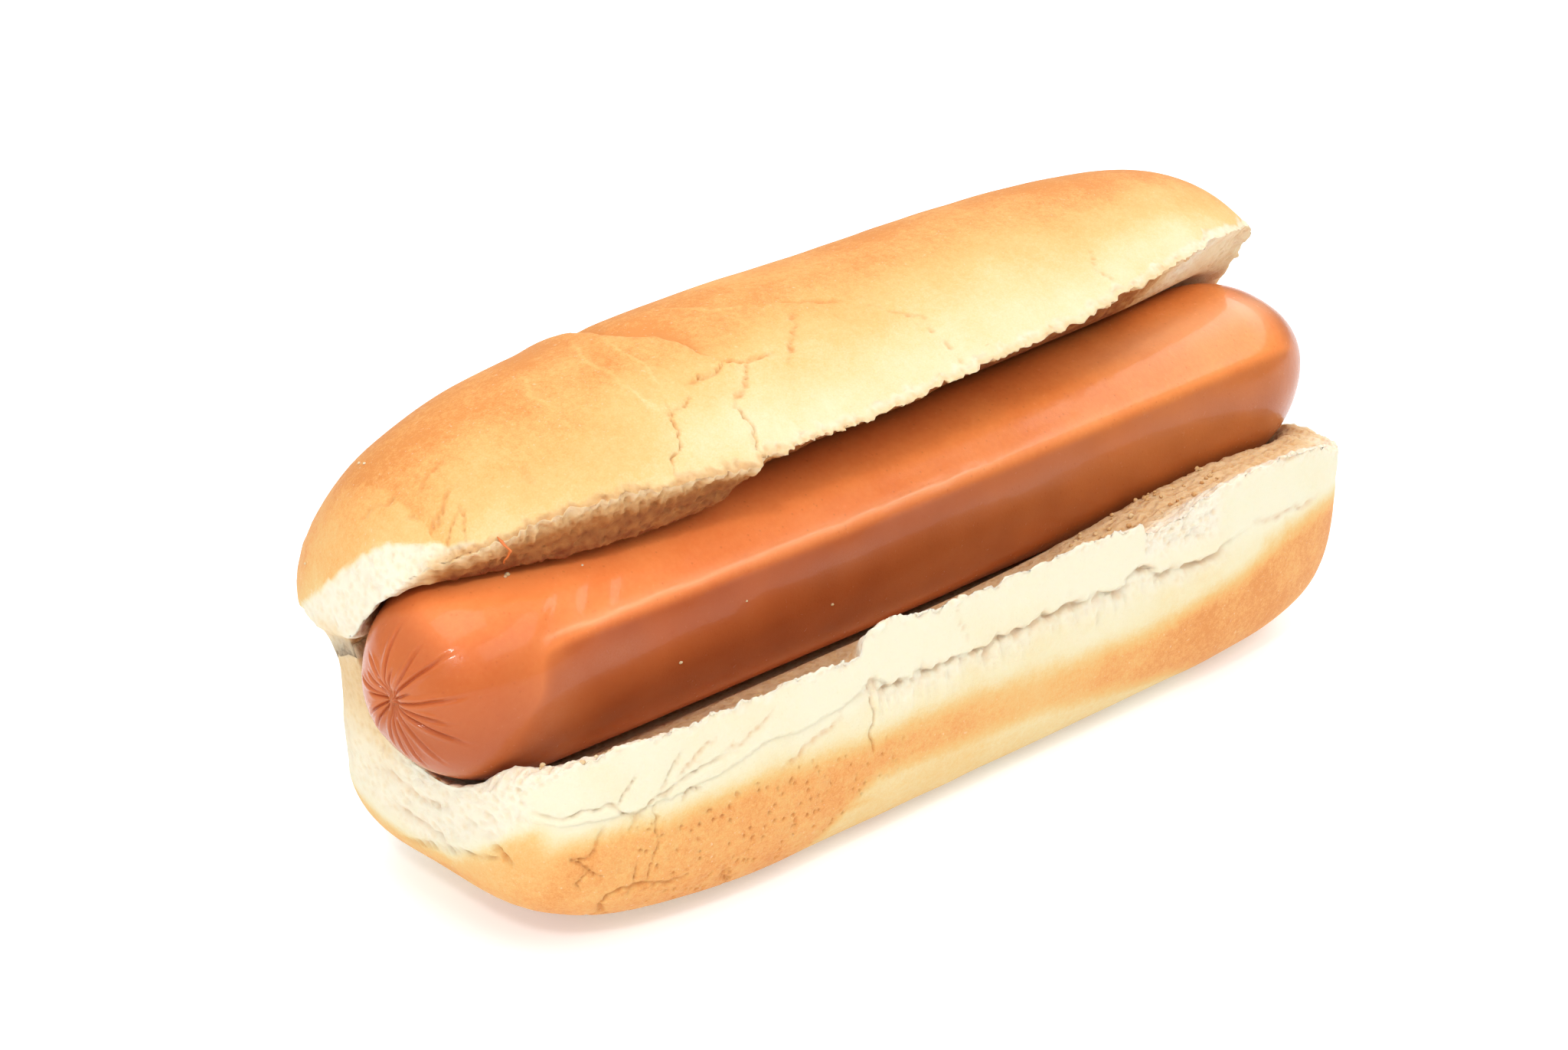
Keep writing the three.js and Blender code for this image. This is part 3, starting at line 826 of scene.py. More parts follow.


# The torn seam of the front wall: smooth skin above it, pulled crumb below it, and painted shade along the
# seam and in its pockets.
def tearSeam(loaf):
    frameX, onWall, points, shape = loaf.frameX, loaf.onWall, loaf.points, seamShape
    torn = ease(frameX, *shape["torn"][:2]) * fade(frameX, *shape["torn"][2:])
    below = loaf.down - along(seamLine, frameX) + 0.5 * loaf.wobble
    below = below + 0.9 * torn * lumps(points * [1, 0.3, 0.5], 2.2, 63, onWall)
    near = onWall & (np.abs(below) < shape["near"])
    near = near & (frameX > shape["reach"][0]) & (frameX < shape["reach"][1])
    stretch = lumps(points * [1, 0.45, 0.22], 0.8, 61, near)
    pocket = torn * bell(below - shape["pocket"][0], shape["pocket"][1])
    pocket = pocket * ease(lumps(points * [1, 0.6, 1.3], 1.7, 62, near), -0.12, 0.2)
    over, under = (0.10 + 0.16 * torn) * bell(below, 1.8), (0.22 + 0.14 * torn) * bell(below, 1.6)
    seam = np.where(below < 0, over, -under)
    seam = seam - swell(below, *shape["line"]) - 0.60 * pocket
    seam = seam + torn * bell(below - 1.6, 1.7) * (0.55 * stretch + 0.10)
    seam = seam + torn * 0.26 * bell(below - 3.4, 1.8)
    share = ease(frameX, *shape["start"]) * (1 - 0.85 * ease(frameX, *shape["end"]))
    dark = bell(below - 0.15, 0.30) * (0.10 + 0.10 * torn) * share + 0.75 * pocket
    work(loaf, onWall, seam * share, dark)
    loaf.below = below
    loaf.pulled = torn * bell(below - shape["pulled"][0], shape["pulled"][1]) * onWall * 0.7


# Skin that came away at the right of the lip, and torn places on both ends.
def bareSkin(loaf):
    x, y, down, points, frameX = loaf.x, loaf.y, loaf.down, loaf.points, loaf.frameX
    loaf.bare = loaf.onWall * ease(frameX, 22, 22.8) * fade(frameX, 35.5, 37.5) * fade(down, 2.6, 4.6)
    leftEnd = loaf.lower & loaf.onSkin & (x < -0.91)
    raggedness = lumps(points, 3.4, 71, leftEnd)
    rawShare = ease(-x, 0.935, 0.972) * fade(down - along(endTan, y) + 2.0 * raggedness, -2.5, -0.5)
    leftTop = loaf.onTop & (x < -0.87) & (down < 12)
    patchEdge = down - along(whitePatch, y) + 0.45 * lumps(points, 3.0, 94, leftTop)
    patchEdge = patchEdge + 0.35 * lumps(points, 1.1, 95, leftTop)
    patch = ease(-x, 0.88, 0.905) * fade(patchEdge, -0.25, 0.45) * fade(y, 13, 16)
    loaf.patch = np.where(leftTop, patch, 0)
    webWall = np.where(loaf.onSkin & (x < -0.93), bell(down, 3.2) * ease(y, 2, 5), 0)
    tears = 0.85 * np.maximum(np.maximum(np.where(leftEnd, rawShare, 0), loaf.patch), webWall)
    strata = np.stack([points[:, 1] + loaf.wobble, points[:, 2] + 0.4 * loaf.wobble], 1)
    # The strata get painted shade in them.
    depth, dark = crackField(strata, endCracks)
    work(loaf, leftEnd, -depth, 0.6 * dark)
    rightEnd = loaf.onSkin & (x > 0.93)
    rightTears = 0.7 * ease(lumps(points, 3.0, 72, rightEnd), 0.0, 0.5)
    rightTears = rightTears * ease(down, 1.0, 3.0) * fade(down, 10, 14)
    loaf.tears = np.maximum(tears, np.where(rightEnd & loaf.lower, rightTears, 0))
    loaf.raised -= 0.30 * loaf.tears + 0.3 * loaf.bare


# Pits in the browned band, with painted shade in them.
def pitCrust(loaf):
    frameX, down, points = loaf.frameX, loaf.down, loaf.points
    loaf.tan = ease(down - along(tanTop, frameX), -1.5, 2.5) * fade(down - along(tanEnd, frameX), -2.0, 2.0)
    pitted = loaf.onWall & (loaf.tan > 0.15) & (frameX < -6)
    cell = cells(points * [1, 0.85, 1.1], crust["pitCell"], 5, pitted)
    size = 0.25 + 0.10 * lumps(points, 5, 75, pitted)
    pits = ease(size - cell, -0.02, 0.12) * ease(loaf.tan, 0.2, 0.7)
    pits = pits * fade(frameX, -26, -8) * ease(frameX, -60, -54)
    work(loaf, pitted, -crust["pitDepth"] * pits, crust["pitDark"] * pits)


# Crumb of the cut faces and of every torn place.
def roughenCrumb(loaf):
    frameX, rim, points, onSkin = loaf.frameX, loaf.rim, loaf.points, loaf.onSkin
    loaf.goldenTip = np.where(loaf.upper & ~onSkin, 0.6 * ease(frameX, 50, 58), 0)
    lipEdge = onSkin & (rim < 4)
    lipWide = np.where(loaf.upper, mix(0.7, 1.0, ease(frameX, -32, -20)), 0.5)
    lipWide = lipWide + 0.8 * lumps(points, 1.2, 64, lipEdge)
    lipRaw = fade(rim - lipWide, -0.3, 0.5) * ease(np.abs(np.degrees(loaf.angle)), 90, 120)
    crumb = np.where(onSkin, 0, 1) - loaf.goldenTip + 0.8 * loaf.pulled + loaf.bare + 0.9 * loaf.tears
    crumb = np.clip(crumb + 0.75 * np.where(lipEdge, lipRaw, 0), 0, 1)
    inside = np.where(loaf.lower, crumbShape["lowerDepth"], crumbShape["upperDepth"])
    seen = np.where(onSkin, 1, fade(rim, inside, inside + crumbShape["fadeOver"]))
    loaf.rough = (crumb > 0.05) & (seen > 0)
    for height, size, seed in crumbShape["lumps"]:
        loaf.raised += crumb * height * (np.abs(lumps(points, size, seed, loaf.rough)) * 1.6 - 0.35) * seen
    # Bubbles, with painted shade in them.
    for size, depth in crumbShape["bubbles"]:
        hole = ease(0.46 - cells(points, size, crumbShape["bubbleSeed"], loaf.rough), 0, 0.3) * crumb * seen
        loaf.raised -= depth * hole
        loaf.groove = np.maximum(loaf.groove, crumbShape["bubbleDark"] * hole)
    loaf.crumb = crumb


# How brown each place is: 0 is white, a third is cream, and 1 is brown.
def bakedShare(loaf):
    x, y, frameX, up, down = loaf.x, loaf.y, loaf.frameX, loaf.up, loaf.down
    patchy = layered(loaf.points, crust["patches"])
    top = mix(along(browning["left"], up), along(browning["right"], up), ease(frameX, -48, -26))
    top = top + 0.20 * ease(frameX, 46, 54) * fade(up, 5, 9) + 0.10 * ease(frameX, 54, 62) * fade(up, 9, 14)
    top = top + 0.12 * ease(frameX, 26, 44) * ease(up, 4, 8)

    tanLevel = mix(0.66, 0.56, ease(frameX, -28, 6)) + 0.20 * ease(frameX, 10, 40)
    paleLevel = 0.30 * ease(down - along(tanEnd, frameX), -2.5, 1.5) * (frameX > -40)
    wall = 0.02 + 0.13 * ease(loaf.below, 0, 2.5) + np.maximum(tanLevel * loaf.tan, paleLevel * 0.8)
    wall = wall + 0.10 * ease(down, 17, 22) * (frameX < -20)
    under = ease(down, 19.5, 22.5)
    wall = mix(wall, 0.66, under * (0.35 + 0.65 * (1 - ease(frameX, -20, 0) * fade(frameX, 40, 50))))
    wall = np.where(y > 0, 0.12 + 0.45 * ease(down, 9, 17) + 0.15 * under, wall)
    beyondTan = down - along(endTan, y)
    leftWall = 0.06 + 0.46 * ease(beyondTan, -1.2, 0.8) + 0.20 * ease(beyondTan, 0, 3) + 0.12 * under
    rightWall = 0.10 + 0.30 * ease(down, 6, 12) + 0.22 * ease(down, 13.5, 18.5) + 0.14 * under
    wall = mix(wall, np.where(x < 0, leftWall, rightWall), ease(np.abs(x), 0.92, 0.96))
    baked = np.where(loaf.lower, wall, top) + patchy * np.where(loaf.lower, 0.8, 1.0)
    hinge = (y > 0) & (down < 12)
    baked = np.where(hinge, mix(np.where(x < -0.9, 0.26, 0.24), baked, ease(down, 1, 12)), baked)
    # Tint brings in the fold's painted shade and highlight, and the pale stretch lines.
    baked = np.clip(np.where(loaf.onSkin, baked, 0), 0, 1) * (1 - loaf.patch) + loaf.tint
    return np.where(loaf.onSkin, baked, 0.32 * ease(loaf.goldenTip, 0, 0.6))


# How much painted shade, and warm light bounced off the sausage, the crumb gets: 0 is white, 1 is deep brown.
def soakedShare(loaf, points):
    frameX, rim, y, upper, lower, onSkin = loaf.frameX, loaf.rim, loaf.y, loaf.upper, loaf.lower, loaf.onSkin
    axisY, axisZ = sausageAxis(points[:, 0])
    offY, offZ = points[:, 1] - axisY, points[:, 2] - axisZ
    fromSausage = np.hypot(offY, offZ) - sausageSection(np.arctan2(offZ, offY))
    toRight = ease(frameX, 14, 34)
    # Near the sausage the crumb gets painted warm shade, as of light bounced off it.
    soaked = 0.55 * bell(np.maximum(fromSausage, 0), 4.2) * loaf.crumb * np.where(onSkin, 0.3, 1)
    soaked = soaked * np.where(upper, 1, mix(0.2, 0.62, toRight))
    soaked = soaked * np.where(lower | (y > 2), mix(0.15, 1, ease(frameX, -66, -50)), ease(frameX, -72, -67))

    # Under the upper lip the crumb gets painted shade, deepest at the sausage.
    inFront = ease(-y, -6, 0)
    front = fade(frameX, 40, 54) * inFront * ease(frameX, -71, -66)
    deeper = 0.20 * ease(rim, 0.1, 1.2) + 0.34 * ease(rim, 0.9, 3.4)
    underLip = np.where(upper & ~onSkin, (0.26 + deeper + 0.22 * bell(fromSausage, 2.0)) * front, 0)
    pastFold = ease(frameX, -34, -24)
    # The skin at the upper lip's edge gets painted shade too.
    lipTone = mix(0.52, 0.26, pastFold) * bell(rim, mix(1.5, 0.9, pastFold)) * front
    lipTone = np.where(upper & onSkin, lipTone, 0)
    # Behind the lower lip the crumb gets painted warm shade.
    behindLip = mix(0.32, 0.34, toRight) * ease(rim, mix(0.5, 1.6, toRight), mix(2.2, 6.5, toRight))
    behindLip = np.where(lower & ~onSkin, behindLip * inFront * ease(frameX, -60, -52), 0)
    # At the left hinge the notch gets a painted warm tone, as of bounced light in its shade.
    atHinge = np.where(loaf.x < -0.88, 0.34 * bell(loaf.down, 3.5) * ease(y, 1, 5), 0)
    for other in (behindLip, underLip, lipTone, atHinge):
        soaked = np.maximum(soaked, other)
    return np.clip(soaked * (1 + 0.22 * lumps(points, 1.1, 65, loaf.rough)), 0, 1)


def sculptLoaf(obj):
    loaf = SimpleNamespace(**{name: readValues(obj, name) for name in loafValues})
    loaf.points = readVertices(obj, "co") / mm
    loaf.lower, loaf.upper, loaf.onSkin = loaf.angle < 0, loaf.angle >= 0, loaf.skin > 0.5
    loaf.frameX = loaf.points[:, 0] + toFrame[0]
    tearLips(loaf)
    points = placed(loaf.x, loaf.y, loaf.z, loaf.angle, loaf.web)

    # At the left end the hinge's wall stands higher, so that its notch is up under the upper half.
    atNotch = bell(points[:, 2] - notch["height"], notch["tall"])
    atNotch = atNotch * ease(-loaf.frameX, *notch["left"]) * ease(points[:, 1], *notch["back"])
    points[:, 2] += notch["rise"] * atNotch
    writePoints(obj, points * mm)
    normals = readVertices(obj, "normal")
    loaf.points = points

    onSkin, down = loaf.onSkin, np.abs(loaf.z)
    up = np.interp(pi - np.abs(loaf.angle), *arcFromLip())
    loaf.up = np.where(np.abs(loaf.x) > 0.93, np.minimum(up, down + 2), up)
    loaf.down = down
    loaf.wobble = layered(points, crust["wobble"], onSkin)
    loaf.topPlane, loaf.wallPlane = [
        np.stack([loaf.frameX + loaf.wobble, height + 0.5 * lumps(points, 1.7, seed, onSkin)], 1)
        for height, seed in ((loaf.up, 43), (down, 44))]
    loaf.onTop, loaf.onWall = loaf.upper & onSkin, loaf.lower & onSkin & (loaf.y < 0)
    loaf.raised, loaf.groove = layered(points, crust["lumps"]) * onSkin, np.zeros(len(up))
    for step in (foldTop, crackCrust, tearSeam, bareSkin, pitCrust, roughenCrumb):
        step(loaf)

    loaf.raised *= 1 - 0.95 * bell(np.degrees(loaf.angle), 18) * (loaf.x < -0.85)
    loaf.points = onTable(pressed(points + normals * loaf.raised[:, None], crust["clearance"]))
    writePoints(obj, (loaf.points + toFrame) * mm)
    writeValues(
        obj, baked=bakedShare(loaf), crumb=loaf.crumb, groove=np.clip(loaf.groove, 0, 1),
        soaked=soakedShare(loaf, loaf.points),
    )
    for name in loafValues:
        obj.data.attributes.remove(obj.data.attributes[name])
    print("bun worked over")


def makeBun():
    obj = makeLoaf()
    sculptLoaf(obj)
    pick(obj)
    thin = obj.modifiers.new("thin", "DECIMATE")
    thin.ratio = mesh["triangles"] / (2 * len(obj.data.polygons))
    bpy.ops.object.modifier_apply(modifier="thin")
    bpy.ops.object.shade_smooth()
    print("bun:", sum(len(p.vertices) - 2 for p in obj.data.polygons), "triangles")
    return obj


# what came loose

crumbs = {
    "seed": 11, "count": 170, "size": (0.16, 0.42),
    "along": (-66, 46), "across": (-24.5, -16.0), "highest": 31.5,
    "placed": [
        ((-60.6, -10.4, 42.2), 0.20), ((-60.2, -10.2, 42.2), 0.30), ((-19.3, -16.9, 27.9), 0.22),
        ((-43.0, -17.9, 28.9), 0.24), ((-64.7, 9.3, 50.2), 0.20), ((-65.0, 7.9, 50.7), 0.17),
        ((-71.1, 11.2, 39.7), 0.20), ((-52.0, -12.6, 41.6), 0.15), ((-33.0, -17.6, 33.0), 0.14),
    ],
}
shred = {
    "path": [
        (-62.4, -11.6, 47.8), (-62.3, -12.7, 47.2), (-62.0, -13.2, 46.6), (-61.8, -12.5, 45.6),
        (-61.8, -11.8, 44.9), (-60.8, -10.5, 43.8), (-59.5, -9.2, 42.7),
    ],
    "thick": [(0, 0.30), (0.12, 0.34), (0.3, 0.24), (0.5, 0.13), (0.75, 0.15), (0.9, 0.28), (1, 0.20)],
    "ring": 10, "rows": 40, "browned": 0.5,
}


# One crumb, then copies of it that lie on the cut face and the sausage.
def makeCrumbs(bread, meat):
    bpy.context.view_layer.update()
    dice = random.Random(crumbs["seed"])
    spots = list(crumbs["placed"])
    fall = Vector((0, 0, -1))
    while len(spots) < crumbs["count"]:
        start = Vector((dice.uniform(*crumbs["along"]), dice.uniform(*crumbs["across"]), 90)) * mm
        size = dice.uniform(*crumbs["size"])
        hit, spot = bread.ray_cast(start, fall)[:2]
        if hit and not meat.ray_cast(start, fall)[0] and spot.z < crumbs["highest"] * mm:
            spots.append((tuple(spot / mm), size))
    selectNothing()
    bpy.ops.mesh.primitive_ico_sphere_add(subdivisions=2, radius=mm, location=(0, 0, 0))
    first = bpy.context.active_object
    bpy.ops.object.mode_set(mode="EDIT")
    bpy.ops.mesh.select_all(action="SELECT")
    bpy.ops.transform.vertex_random(offset=0.42 * mm, seed=4)
    bpy.ops.object.mode_set(mode="OBJECT")
    shape = readVertices(first, "co")
    selectNothing()
    for spot, size in spots:
        turn = np.array(Euler([dice.uniform(0, 2 * pi) for k in range(3)]).to_matrix())
        copied = first.copy()
        copied.data = first.data.copy()
        bpy.context.scene.collection.objects.link(copied)
        lying = (shape @ turn.T) * size * [1, 0.8 + 0.4 * size, 0.8]
        writePoints(copied, lying + np.array(spot) * mm + [0, 0, 0.4 * size * mm])
        copied.select_set(True)
        bpy.context.view_layer.objects.active = copied
    bpy.data.objects.remove(first)
    bpy.ops.object.join()
    obj = takeNew("looseCrumbs")
    points = readVertices(obj, "co") / mm
    # The loose crumbs get some painted shade, more towards the right.
    soaked = 0.22 + 0.3 * lumps(points, 3, 99) + 0.18 * ease(points[:, 0], 10, 30)
    writeValues(obj, crumb=np.ones(len(points)), soaked=soaked)
    bpy.ops.object.shade_smooth()
    print("crumbs:", len(spots))
    return obj


# A shred of sausage skin that hangs from the upper lip: a ball drawn out along its path.
def makeShred():
    selectNothing()
    bpy.ops.mesh.primitive_uv_sphere_add(
        segments=shred["ring"], ring_count=shred["rows"], radius=1, location=(0, 0, 0))
    obj = takeNew("skinShred")
    ball = readVertices(obj, "co")
    share = (1 - ball[:, 2]) / 2
    knots = np.linspace(0, 1, len(shred["path"]))
    centre = np.stack([np.interp(share, knots, line) for line in np.array(shred["path"]).T], 1)
    around = ball * [1, 1, 0] / np.maximum(np.hypot(ball[:, 0], ball[:, 1]), 1e-6)[:, None]
    thick = along(shred["thick"], share) * np.sqrt(np.clip(1 - (2 * share - 1) ** 8, 0, 1))
    thick = thick * (1 + 0.4 * lumps(centre, 0.4, 98))
    bent = 0.12 * np.stack([lumps(centre, 0.9, 96), lumps(centre, 0.9, 97), np.zeros(len(share))], 1)
    writePoints(obj, (centre + bent + around * thick[:, None] * [0.6, 1.0, 1.0]) * mm)
    writeValues(obj, browned=np.full(len(share), shred["browned"]))
    bpy.ops.object.shade_smooth()
    return obj


# materials

# Fixed values, or the sockets that they come from, for a node's inputs.
def feed(tree, socket, value):
    if isinstance(value, bpy.types.NodeSocket):
        tree.links.new(value, socket)
    else:
        socket.default_value = value


def addNode(tree, kind, inputs=None, **settings):
    made = tree.nodes.new(kind)
    for name, value in settings.items():
        setattr(made, name, value)
    for name, value in (inputs or {}).items():
        feed(tree, made.inputs[name], value)
    return made


def addMath(tree, operation, a, b, clamp=False):
    return addNode(tree, "ShaderNodeMath", {0: a, 1: b}, operation=operation, use_clamp=clamp).outputs[0]


def times(tree, a, b, clamp=False):
    return addMath(tree, "MULTIPLY", a, b, clamp)


def plus(tree, a, b, clamp=False):
    return addMath(tree, "ADD", a, b, clamp)


def addMix(tree, share, a, b):
    made = addNode(tree, "ShaderNodeMix", data_type="RGBA")
    for name, value in (("Factor_Float", share), ("A_Color", a), ("B_Color", b)):
        feed(tree, next(s for s in made.inputs if s.identifier == name), value)
    return next(s for s in made.outputs if s.identifier == "Result_Color")


# A colour laid over another by a share of a mask, clamped where the two can pass 1.
def tinted(tree, colour, mask, share, tint, clamp=True):
    return addMix(tree, times(tree, mask, share, clamp), colour, (*tint, 1))


def addRamp(tree, share, stops):
    made = addNode(tree, "ShaderNodeValToRGB", {"Fac": share})
    ramp = made.color_ramp
    ramp.interpolation = "LINEAR"
    while len(ramp.elements) < len(stops):
        ramp.elements.new(0.5)
    for element, (place, colour) in zip(ramp.elements, stops):
        element.position = place
        element.color = (*colour, 1)
    return made.outputs["Color"]


def addRange(tree, value, low, high):
    return addNode(tree, "ShaderNodeMapRange", {"Value": value, "From Min": low, "From Max": high}).outputs[0]


def addNoise(tree, coords, perMetre, detail, rough=0.55):
    inputs = {"Vector": coords, "Scale": perMetre, "Detail": detail, "Roughness": rough}
    return addNode(tree, "ShaderNodeTexNoise", inputs).outputs[0]


def objectCoords(tree):
    return tree.nodes.new("ShaderNodeTexCoord").outputs["Object"]


def painted(tree, *names):
    return [addNode(tree, "ShaderNodeAttribute", attribute_name=name).outputs["Fac"] for name in names]


def newMaterial(name):
    made = bpy.data.materials.new(name)
    made.use_nodes = True
    made.node_tree.nodes.clear()
    return made, made.node_tree


# A finished surface from a colour, a roughness and a height.
def finishSurface(tree, look, colour, rough, height, strength):
    inputs = {"Height": height, "Strength": strength, "Distance": look["bumpDistance"]}
    bump = addNode(tree, "ShaderNodeBump", inputs)
    shader = addNode(tree, "ShaderNodeBsdfPrincipled", {
        "Base Color": colour, "Roughness": rough, "Normal": bump.outputs["Normal"], **look["surface"],
    })
    addNode(tree, "ShaderNodeOutputMaterial", {"Surface": shader.outputs[0]})


def placeGroup(tree, group, values):
    return addNode(tree, "ShaderNodeGroup", values, node_tree=group).outputs


# Fine grain for food: a mottling mask and a height, from object coordinates in metres.
def makeGrainGroup():
    group = bpy.data.node_groups.new("fineGrain", "ShaderNodeTree")
    for name, value in (("Coarse", 900.0), ("Fine", 3200.0), ("Pores", 1400.0), ("Pore Size", 0.22)):
        socket = group.interface.new_socket(name, in_out="INPUT", socket_type="NodeSocketFloat")
        socket.default_value = value
    for name in ("Mottle", "Fine", "Height", "Pore"):
        group.interface.new_socket(name, in_out="OUTPUT", socket_type="NodeSocketFloat")
    entry = group.nodes.new("NodeGroupInput").outputs
    result = group.nodes.new("NodeGroupOutput").inputs
    coords = objectCoords(group)
    coarse = addNoise(group, coords, entry["Coarse"], 3)
    fine = addNoise(group, coords, entry["Fine"], 2)
    voronoi = {"Vector": coords, "Scale": entry["Pores"], "Randomness": 1.0}
    cell = addNode(group, "ShaderNodeTexVoronoi", voronoi).outputs["Distance"]
    pore = addRange(group, cell, entry["Pore Size"], 0.0)
    height = plus(group, times(group, coarse, 0.6), times(group, fine, 0.4))
    height = addMath(group, "SUBTRACT", height, times(group, pore, 0.5))
    for name, value in (("Mottle", coarse), ("Fine", fine), ("Height", height), ("Pore", pore)):
        group.links.new(value, result[name])
    return group


breadLook = {
    "stops": [
        (0.00, (0.745, 0.685, 0.510)), (0.18, (0.730, 0.620, 0.385)), (0.34, (0.720, 0.545, 0.275)),
        (0.52, (0.715, 0.455, 0.178)), (0.70, (0.715, 0.385, 0.128)), (0.85, (0.710, 0.320, 0.096)),
        (1.00, (0.640, 0.245, 0.062)),
    ],
    # The crumb's ramp runs from white crumb, through warm browns of painted bounce light, to the near black
    # of painted shade.
    "crumb": [
        (0.00, (0.775, 0.705, 0.560)), (0.20, (0.725, 0.550, 0.335)), (0.45, (0.590, 0.345, 0.150)),
        (0.70, (0.360, 0.130, 0.034)), (1.00, (0.170, 0.036, 0.008)),
    ],
    "crack": (0.60, 0.25, 0.070), "pore": (0.60, 0.30, 0.09), "flour": (0.82, 0.72, 0.52),
    "skinGrain": {"Coarse": 1300, "Fine": 4600, "Pores": 1500, "Pore Size": 0.24},
    "crumbGrain": {"Coarse": 1000, "Fine": 3600, "Pores": 1000, "Pore Size": 0.55},
    "blotch": 0.42, "sand": 0.48, "speck": 0.40, "poreShade": 0.28, "flourShade": 0.4, "crumbPore": 0.12,
    "bumpDistance": 0.0004,
    "surface": {
        "Specular IOR Level": 0.18,
        "Subsurface Weight": 0.25, "Subsurface Radius": (1.0, 0.6, 0.3), "Subsurface Scale": 0.0012,
    },
}


def breadMaterial(grain):
    made, tree = newMaterial("bread")
    look = breadLook
    coords = objectCoords(tree)
    baked, crumb, groove, soaked = painted(tree, "baked", "crumb", "groove", "soaked")
    skinGrain = placeGroup(tree, grain, look["skinGrain"])
    crumbGrain = placeGroup(tree, grain, look["crumbGrain"])

    # The browner the crust is, the more it is mottled: wide blotches, and grains like fine sand.
    blotches = addNoise(tree, coords, 170, 4, 0.62)
    masks = ((skinGrain["Mottle"], "speck"), (blotches, "blotch"), (skinGrain["Fine"], "sand"))
    speck, blotch, sand = [
        times(tree, addMath(tree, "SUBTRACT", mask, 0.5), look[name]) for mask, name in masks]
    shift = plus(tree, plus(tree, speck, blotch), sand)
    share = plus(tree, baked, times(tree, shift, plus(tree, baked, 0.12)), clamp=True)
    colour = addRamp(tree, share, look["stops"])
    pores = times(tree, skinGrain["Pore"], times(tree, baked, look["poreShade"]))
    colour = addMix(tree, pores, colour, (*look["pore"], 1))
    flour = addRange(tree, addNoise(tree, coords, 2300, 1), 0.68, 0.78)
    flour = times(tree, flour, times(tree, baked, look["flourShade"]))
    colour = addMix(tree, flour, colour, (*look["flour"], 1))
    # The crumb takes painted shade and bounce light through its ramp, deeper in its pores.
    stained = plus(tree, soaked, times(tree, crumbGrain["Pore"], look["crumbPore"]))
    colour = addMix(tree, crumb, colour, addRamp(tree, stained, look["crumb"]))
    # Painted shade in cracks, pits, bubbles, along the fold's line, under the flake and along the seam.
    colour = tinted(tree, colour, groove, plus(tree, times(tree, baked, 0.6), 0.42), look["crack"])

    heights = {"Factor": crumb, "A": skinGrain["Height"], "B": crumbGrain["Height"]}
    height = addNode(tree, "ShaderNodeMix", heights)
    strength = plus(tree, times(tree, crumb, 0.35), 0.22)
    rough = plus(tree, times(tree, baked, -0.22), 0.80)
    finishSurface(tree, look, colour, rough, height.outputs["Result"], strength)
    return made


# Where two colours are given, the first is the left end's and the second the right end's.
sausageLook = {
    "warm": ((0.89, 0.258, 0.070), (0.88, 0.285, 0.070)),
    "deep": ((0.81, 0.198, 0.050), (0.76, 0.210, 0.048)),
    "browned": ((0.31, 0.060, 0.0140), (0.43, 0.120, 0.030)),
    "haze": (0.45, 0.160, 0.075), "speck": (0.36, 0.07, 0.02),
    # The pale colour serves the painted highlights and the paler tied ends. The crease colour is painted
    # shade in the creases.
    "pale": (0.84, 0.41, 0.21), "crease": (0.46, 0.070, 0.018),
    "grain": {"Coarse": 1500, "Fine": 5200, "Pores": 800, "Pore Size": 0.16},
    "endsBlend": (-0.025, 0.040), "brownShare": 0.95, "speckShare": 0.35,
    "ridgeShare": 0.54, "tiedShare": 0.12, "creaseShare": 0.55, "bump": 0.14, "bumpDistance": 0.0004,
    "surface": {
        "Specular IOR Level": 0.13, "Coat Weight": 0.20, "Coat Roughness": 0.06,
        "Subsurface Weight": 0.14, "Subsurface Radius": (1.0, 0.35, 0.15), "Subsurface Scale": 0.0016,
    },
}


def sausageMaterial(grain):
    made, tree = newMaterial("sausage")
    look = sausageLook
    coords = objectCoords(tree)
    crease, ridge, tied, browned, hazy = painted(tree, "crease", "ridge", "tied", "browned", "hazy")
    fine = placeGroup(tree, grain, look["grain"])
    mottled = times(tree, addNoise(tree, coords, 75, 4, 0.6), 0.7)
    mottled = addRange(tree, plus(tree, mottled, times(tree, fine["Mottle"], 0.3)), 0.32, 0.60)
    fromLeft = addNode(tree, "ShaderNodeSeparateXYZ", {"Vector": coords}).outputs["X"]
    fromLeft = addRange(tree, fromLeft, *look["endsBlend"])
    warm, deep, brown = [
        addMix(tree, fromLeft, *[(*tint, 1) for tint in look[name]]) for name in ("warm", "deep", "browned")]
    colour = addMix(tree, mottled, deep, warm)
    colour = addMix(tree, times(tree, browned, look["brownShare"], clamp=True), colour, brown)
    # Over it go a painted reflection band, the skin's own dark specks, painted highlights along the ridge and
    # on the right top, the paler tied ends, and painted shade in the creases.
    for mask, share, name, clamp in (
        (hazy, times(tree, fine["Fine"], 1.3), "haze", True),
        (fine["Pore"], look["speckShare"], "speck", False),
        (ridge, look["ridgeShare"], "pale", True), (tied, look["tiedShare"], "pale", False),
        (crease, look["creaseShare"], "crease", False),
    ):
        colour = tinted(tree, colour, mask, share, look[name], clamp)
    height = plus(tree, times(tree, fine["Height"], 0.8), times(tree, addNoise(tree, coords, 420, 2), 0.5))
    rough = plus(tree, times(tree, fine["Mottle"], 0.12), 0.19)
    finishSurface(tree, look, colour, rough, height, look["bump"])
    return made


# stage

view = {
    "azimuth": -42.75, "elevation": 23.89, "distance": 358.98,
    "target": (-14.39, -3.5, 32.04), "lens": 70.3125, "sensor": 36.0, "clip": (0.01, 20),
}


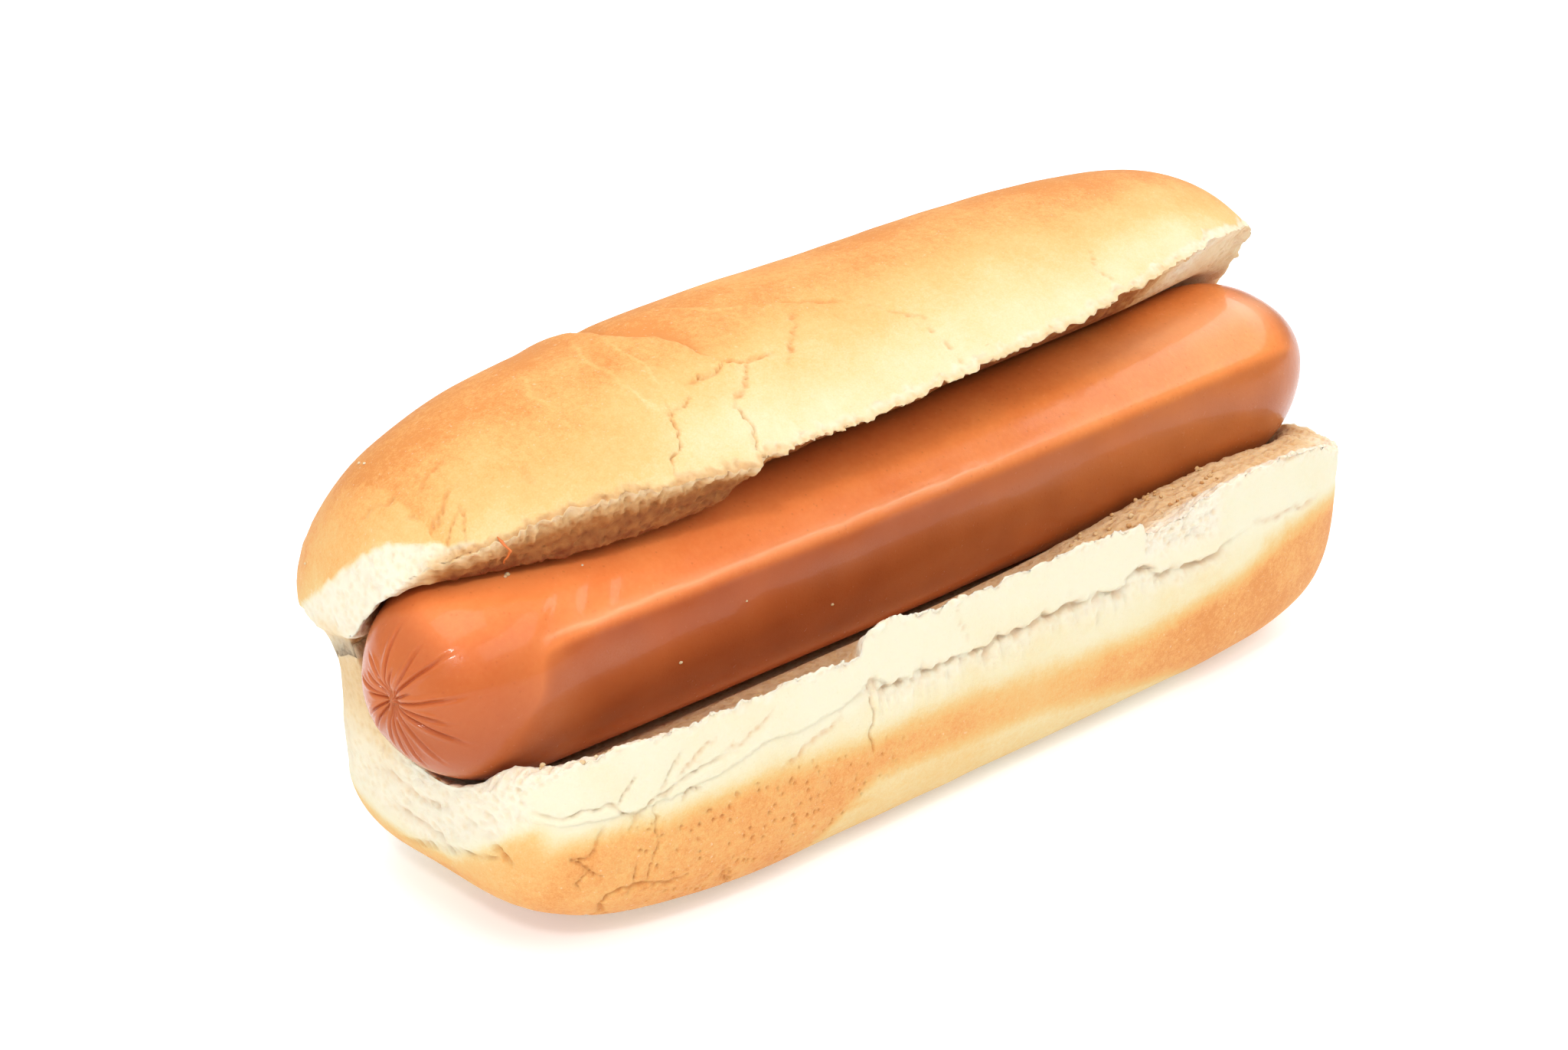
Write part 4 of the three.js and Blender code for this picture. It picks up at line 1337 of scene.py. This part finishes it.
def makeCamera():
    lens = bpy.data.cameras.new("camera")
    lens.lens, lens.sensor_width = view["lens"], view["sensor"]
    lens.clip_start, lens.clip_end = view["clip"]
    camera = bpy.data.objects.new("camera", lens)
    bpy.context.scene.collection.objects.link(camera)
    a, e = math.radians(view["azimuth"]), math.radians(view["elevation"])
    back = Vector((math.sin(a) * math.cos(e), -math.cos(a) * math.cos(e), math.sin(e)))
    camera.location = Vector(view["target"]) * mm + back * view["distance"] * mm
    camera.rotation_euler = (-back).to_track_quat("-Z", "Y").to_euler()
    bpy.context.scene.camera = camera


floorLook = {
    "Base Color": (0.85, 0.89, 0.92, 1), "Roughness": 0.6, "Specular IOR Level": 0.3,
    "Emission Color": (0.90, 0.97, 1, 1), "Emission Strength": 0.32,
}


def makeFloor():
    selectNothing()
    bpy.ops.mesh.primitive_plane_add(size=6, location=(0, 0, -0.05 * mm))
    floor = bpy.context.active_object
    floor.name = "floor"
    made, tree = newMaterial("paleFloor")
    shader = addNode(tree, "ShaderNodeBsdfPrincipled", floorLook)
    addNode(tree, "ShaderNodeOutputMaterial", {"Surface": shader.outputs[0]})
    floor.data.materials.append(made)


# Softboxes: where each stands and looks, its size in millimetres, how bright its face is, and if it glints.
softboxes = [
    ("overhead", (-160, 40, 760), (0, 0, 20), (420, 420), 2.9, True),
    ("rightWindow", (620, -40, 460), (0, -10, 30), (800, 240), 3.3, True),
    ("frontPanel", (60, -560, 620), (-10, 0, 30), (620, 320), 2.3, True),
    ("leftFill", (-640, -80, 260), (-60, 0, 25), (420, 420), 1.15, False),
    ("leftLamp", (-390, -260, 450), (-60, 0, 30), (60, 60), 78, True),
]

# The room's light by height above the horizon: sine of it, and brightness.
roomLight = [(0.0, 0.28), (0.25, 0.38), (0.55, 0.75), (0.9, 0.95)]


def makeLights():
    for name, at, to, size, bright, glints in softboxes:
        width, height = size[0] * mm, size[1] * mm
        lamp = bpy.data.lights.new(name, "AREA")
        lamp.shape = "RECTANGLE"
        lamp.size, lamp.size_y = width, height
        lamp.energy = bright * width * height * pi  # a flat face gives this many watts at that brightness
        held = bpy.data.objects.new(name, lamp)
        bpy.context.scene.collection.objects.link(held)
        held.location = Vector(at) * mm
        held.rotation_euler = (Vector(to) - Vector(at)).to_track_quat("-Z", "Y").to_euler()
        held.visible_glossy = glints
    room = bpy.data.worlds.new("paleRoom")
    room.use_nodes = True
    tree = room.node_tree
    tree.nodes.clear()
    direction = tree.nodes.new("ShaderNodeTexCoord").outputs["Generated"]
    height = addNode(tree, "ShaderNodeSeparateXYZ", {"Vector": direction}).outputs["Z"]
    sky = addRamp(tree, height, [(place, (bright,) * 3) for place, bright in roomLight])
    light = addNode(tree, "ShaderNodeBackground", {"Color": sky, "Strength": 1.0})
    addNode(tree, "ShaderNodeOutputWorld", {"Surface": light.outputs[0]})
    bpy.context.scene.world = room


makeCamera()
grain = makeGrainGroup()

sausageBody = makeSausage()
sausageBody.data.materials.append(sausageMaterial(grain))
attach(sausageBody, "root")
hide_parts("sausage")

bunLoaf = makeBun()
bunLoaf.data.materials.append(breadMaterial(grain))
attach(bunLoaf, "root")
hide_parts("bun")

looseCrumbs = makeCrumbs(bunLoaf, sausageBody)
looseCrumbs.data.materials.clear()
looseCrumbs.data.materials.append(bunLoaf.data.materials[0])
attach(looseCrumbs, "root")

skinShred = makeShred()
skinShred.data.materials.append(sausageBody.data.materials[0])
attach(skinShred, "root")

makeFloor()
makeLights()
bpy.context.scene.view_settings.view_transform = "Standard"
print("stage set")
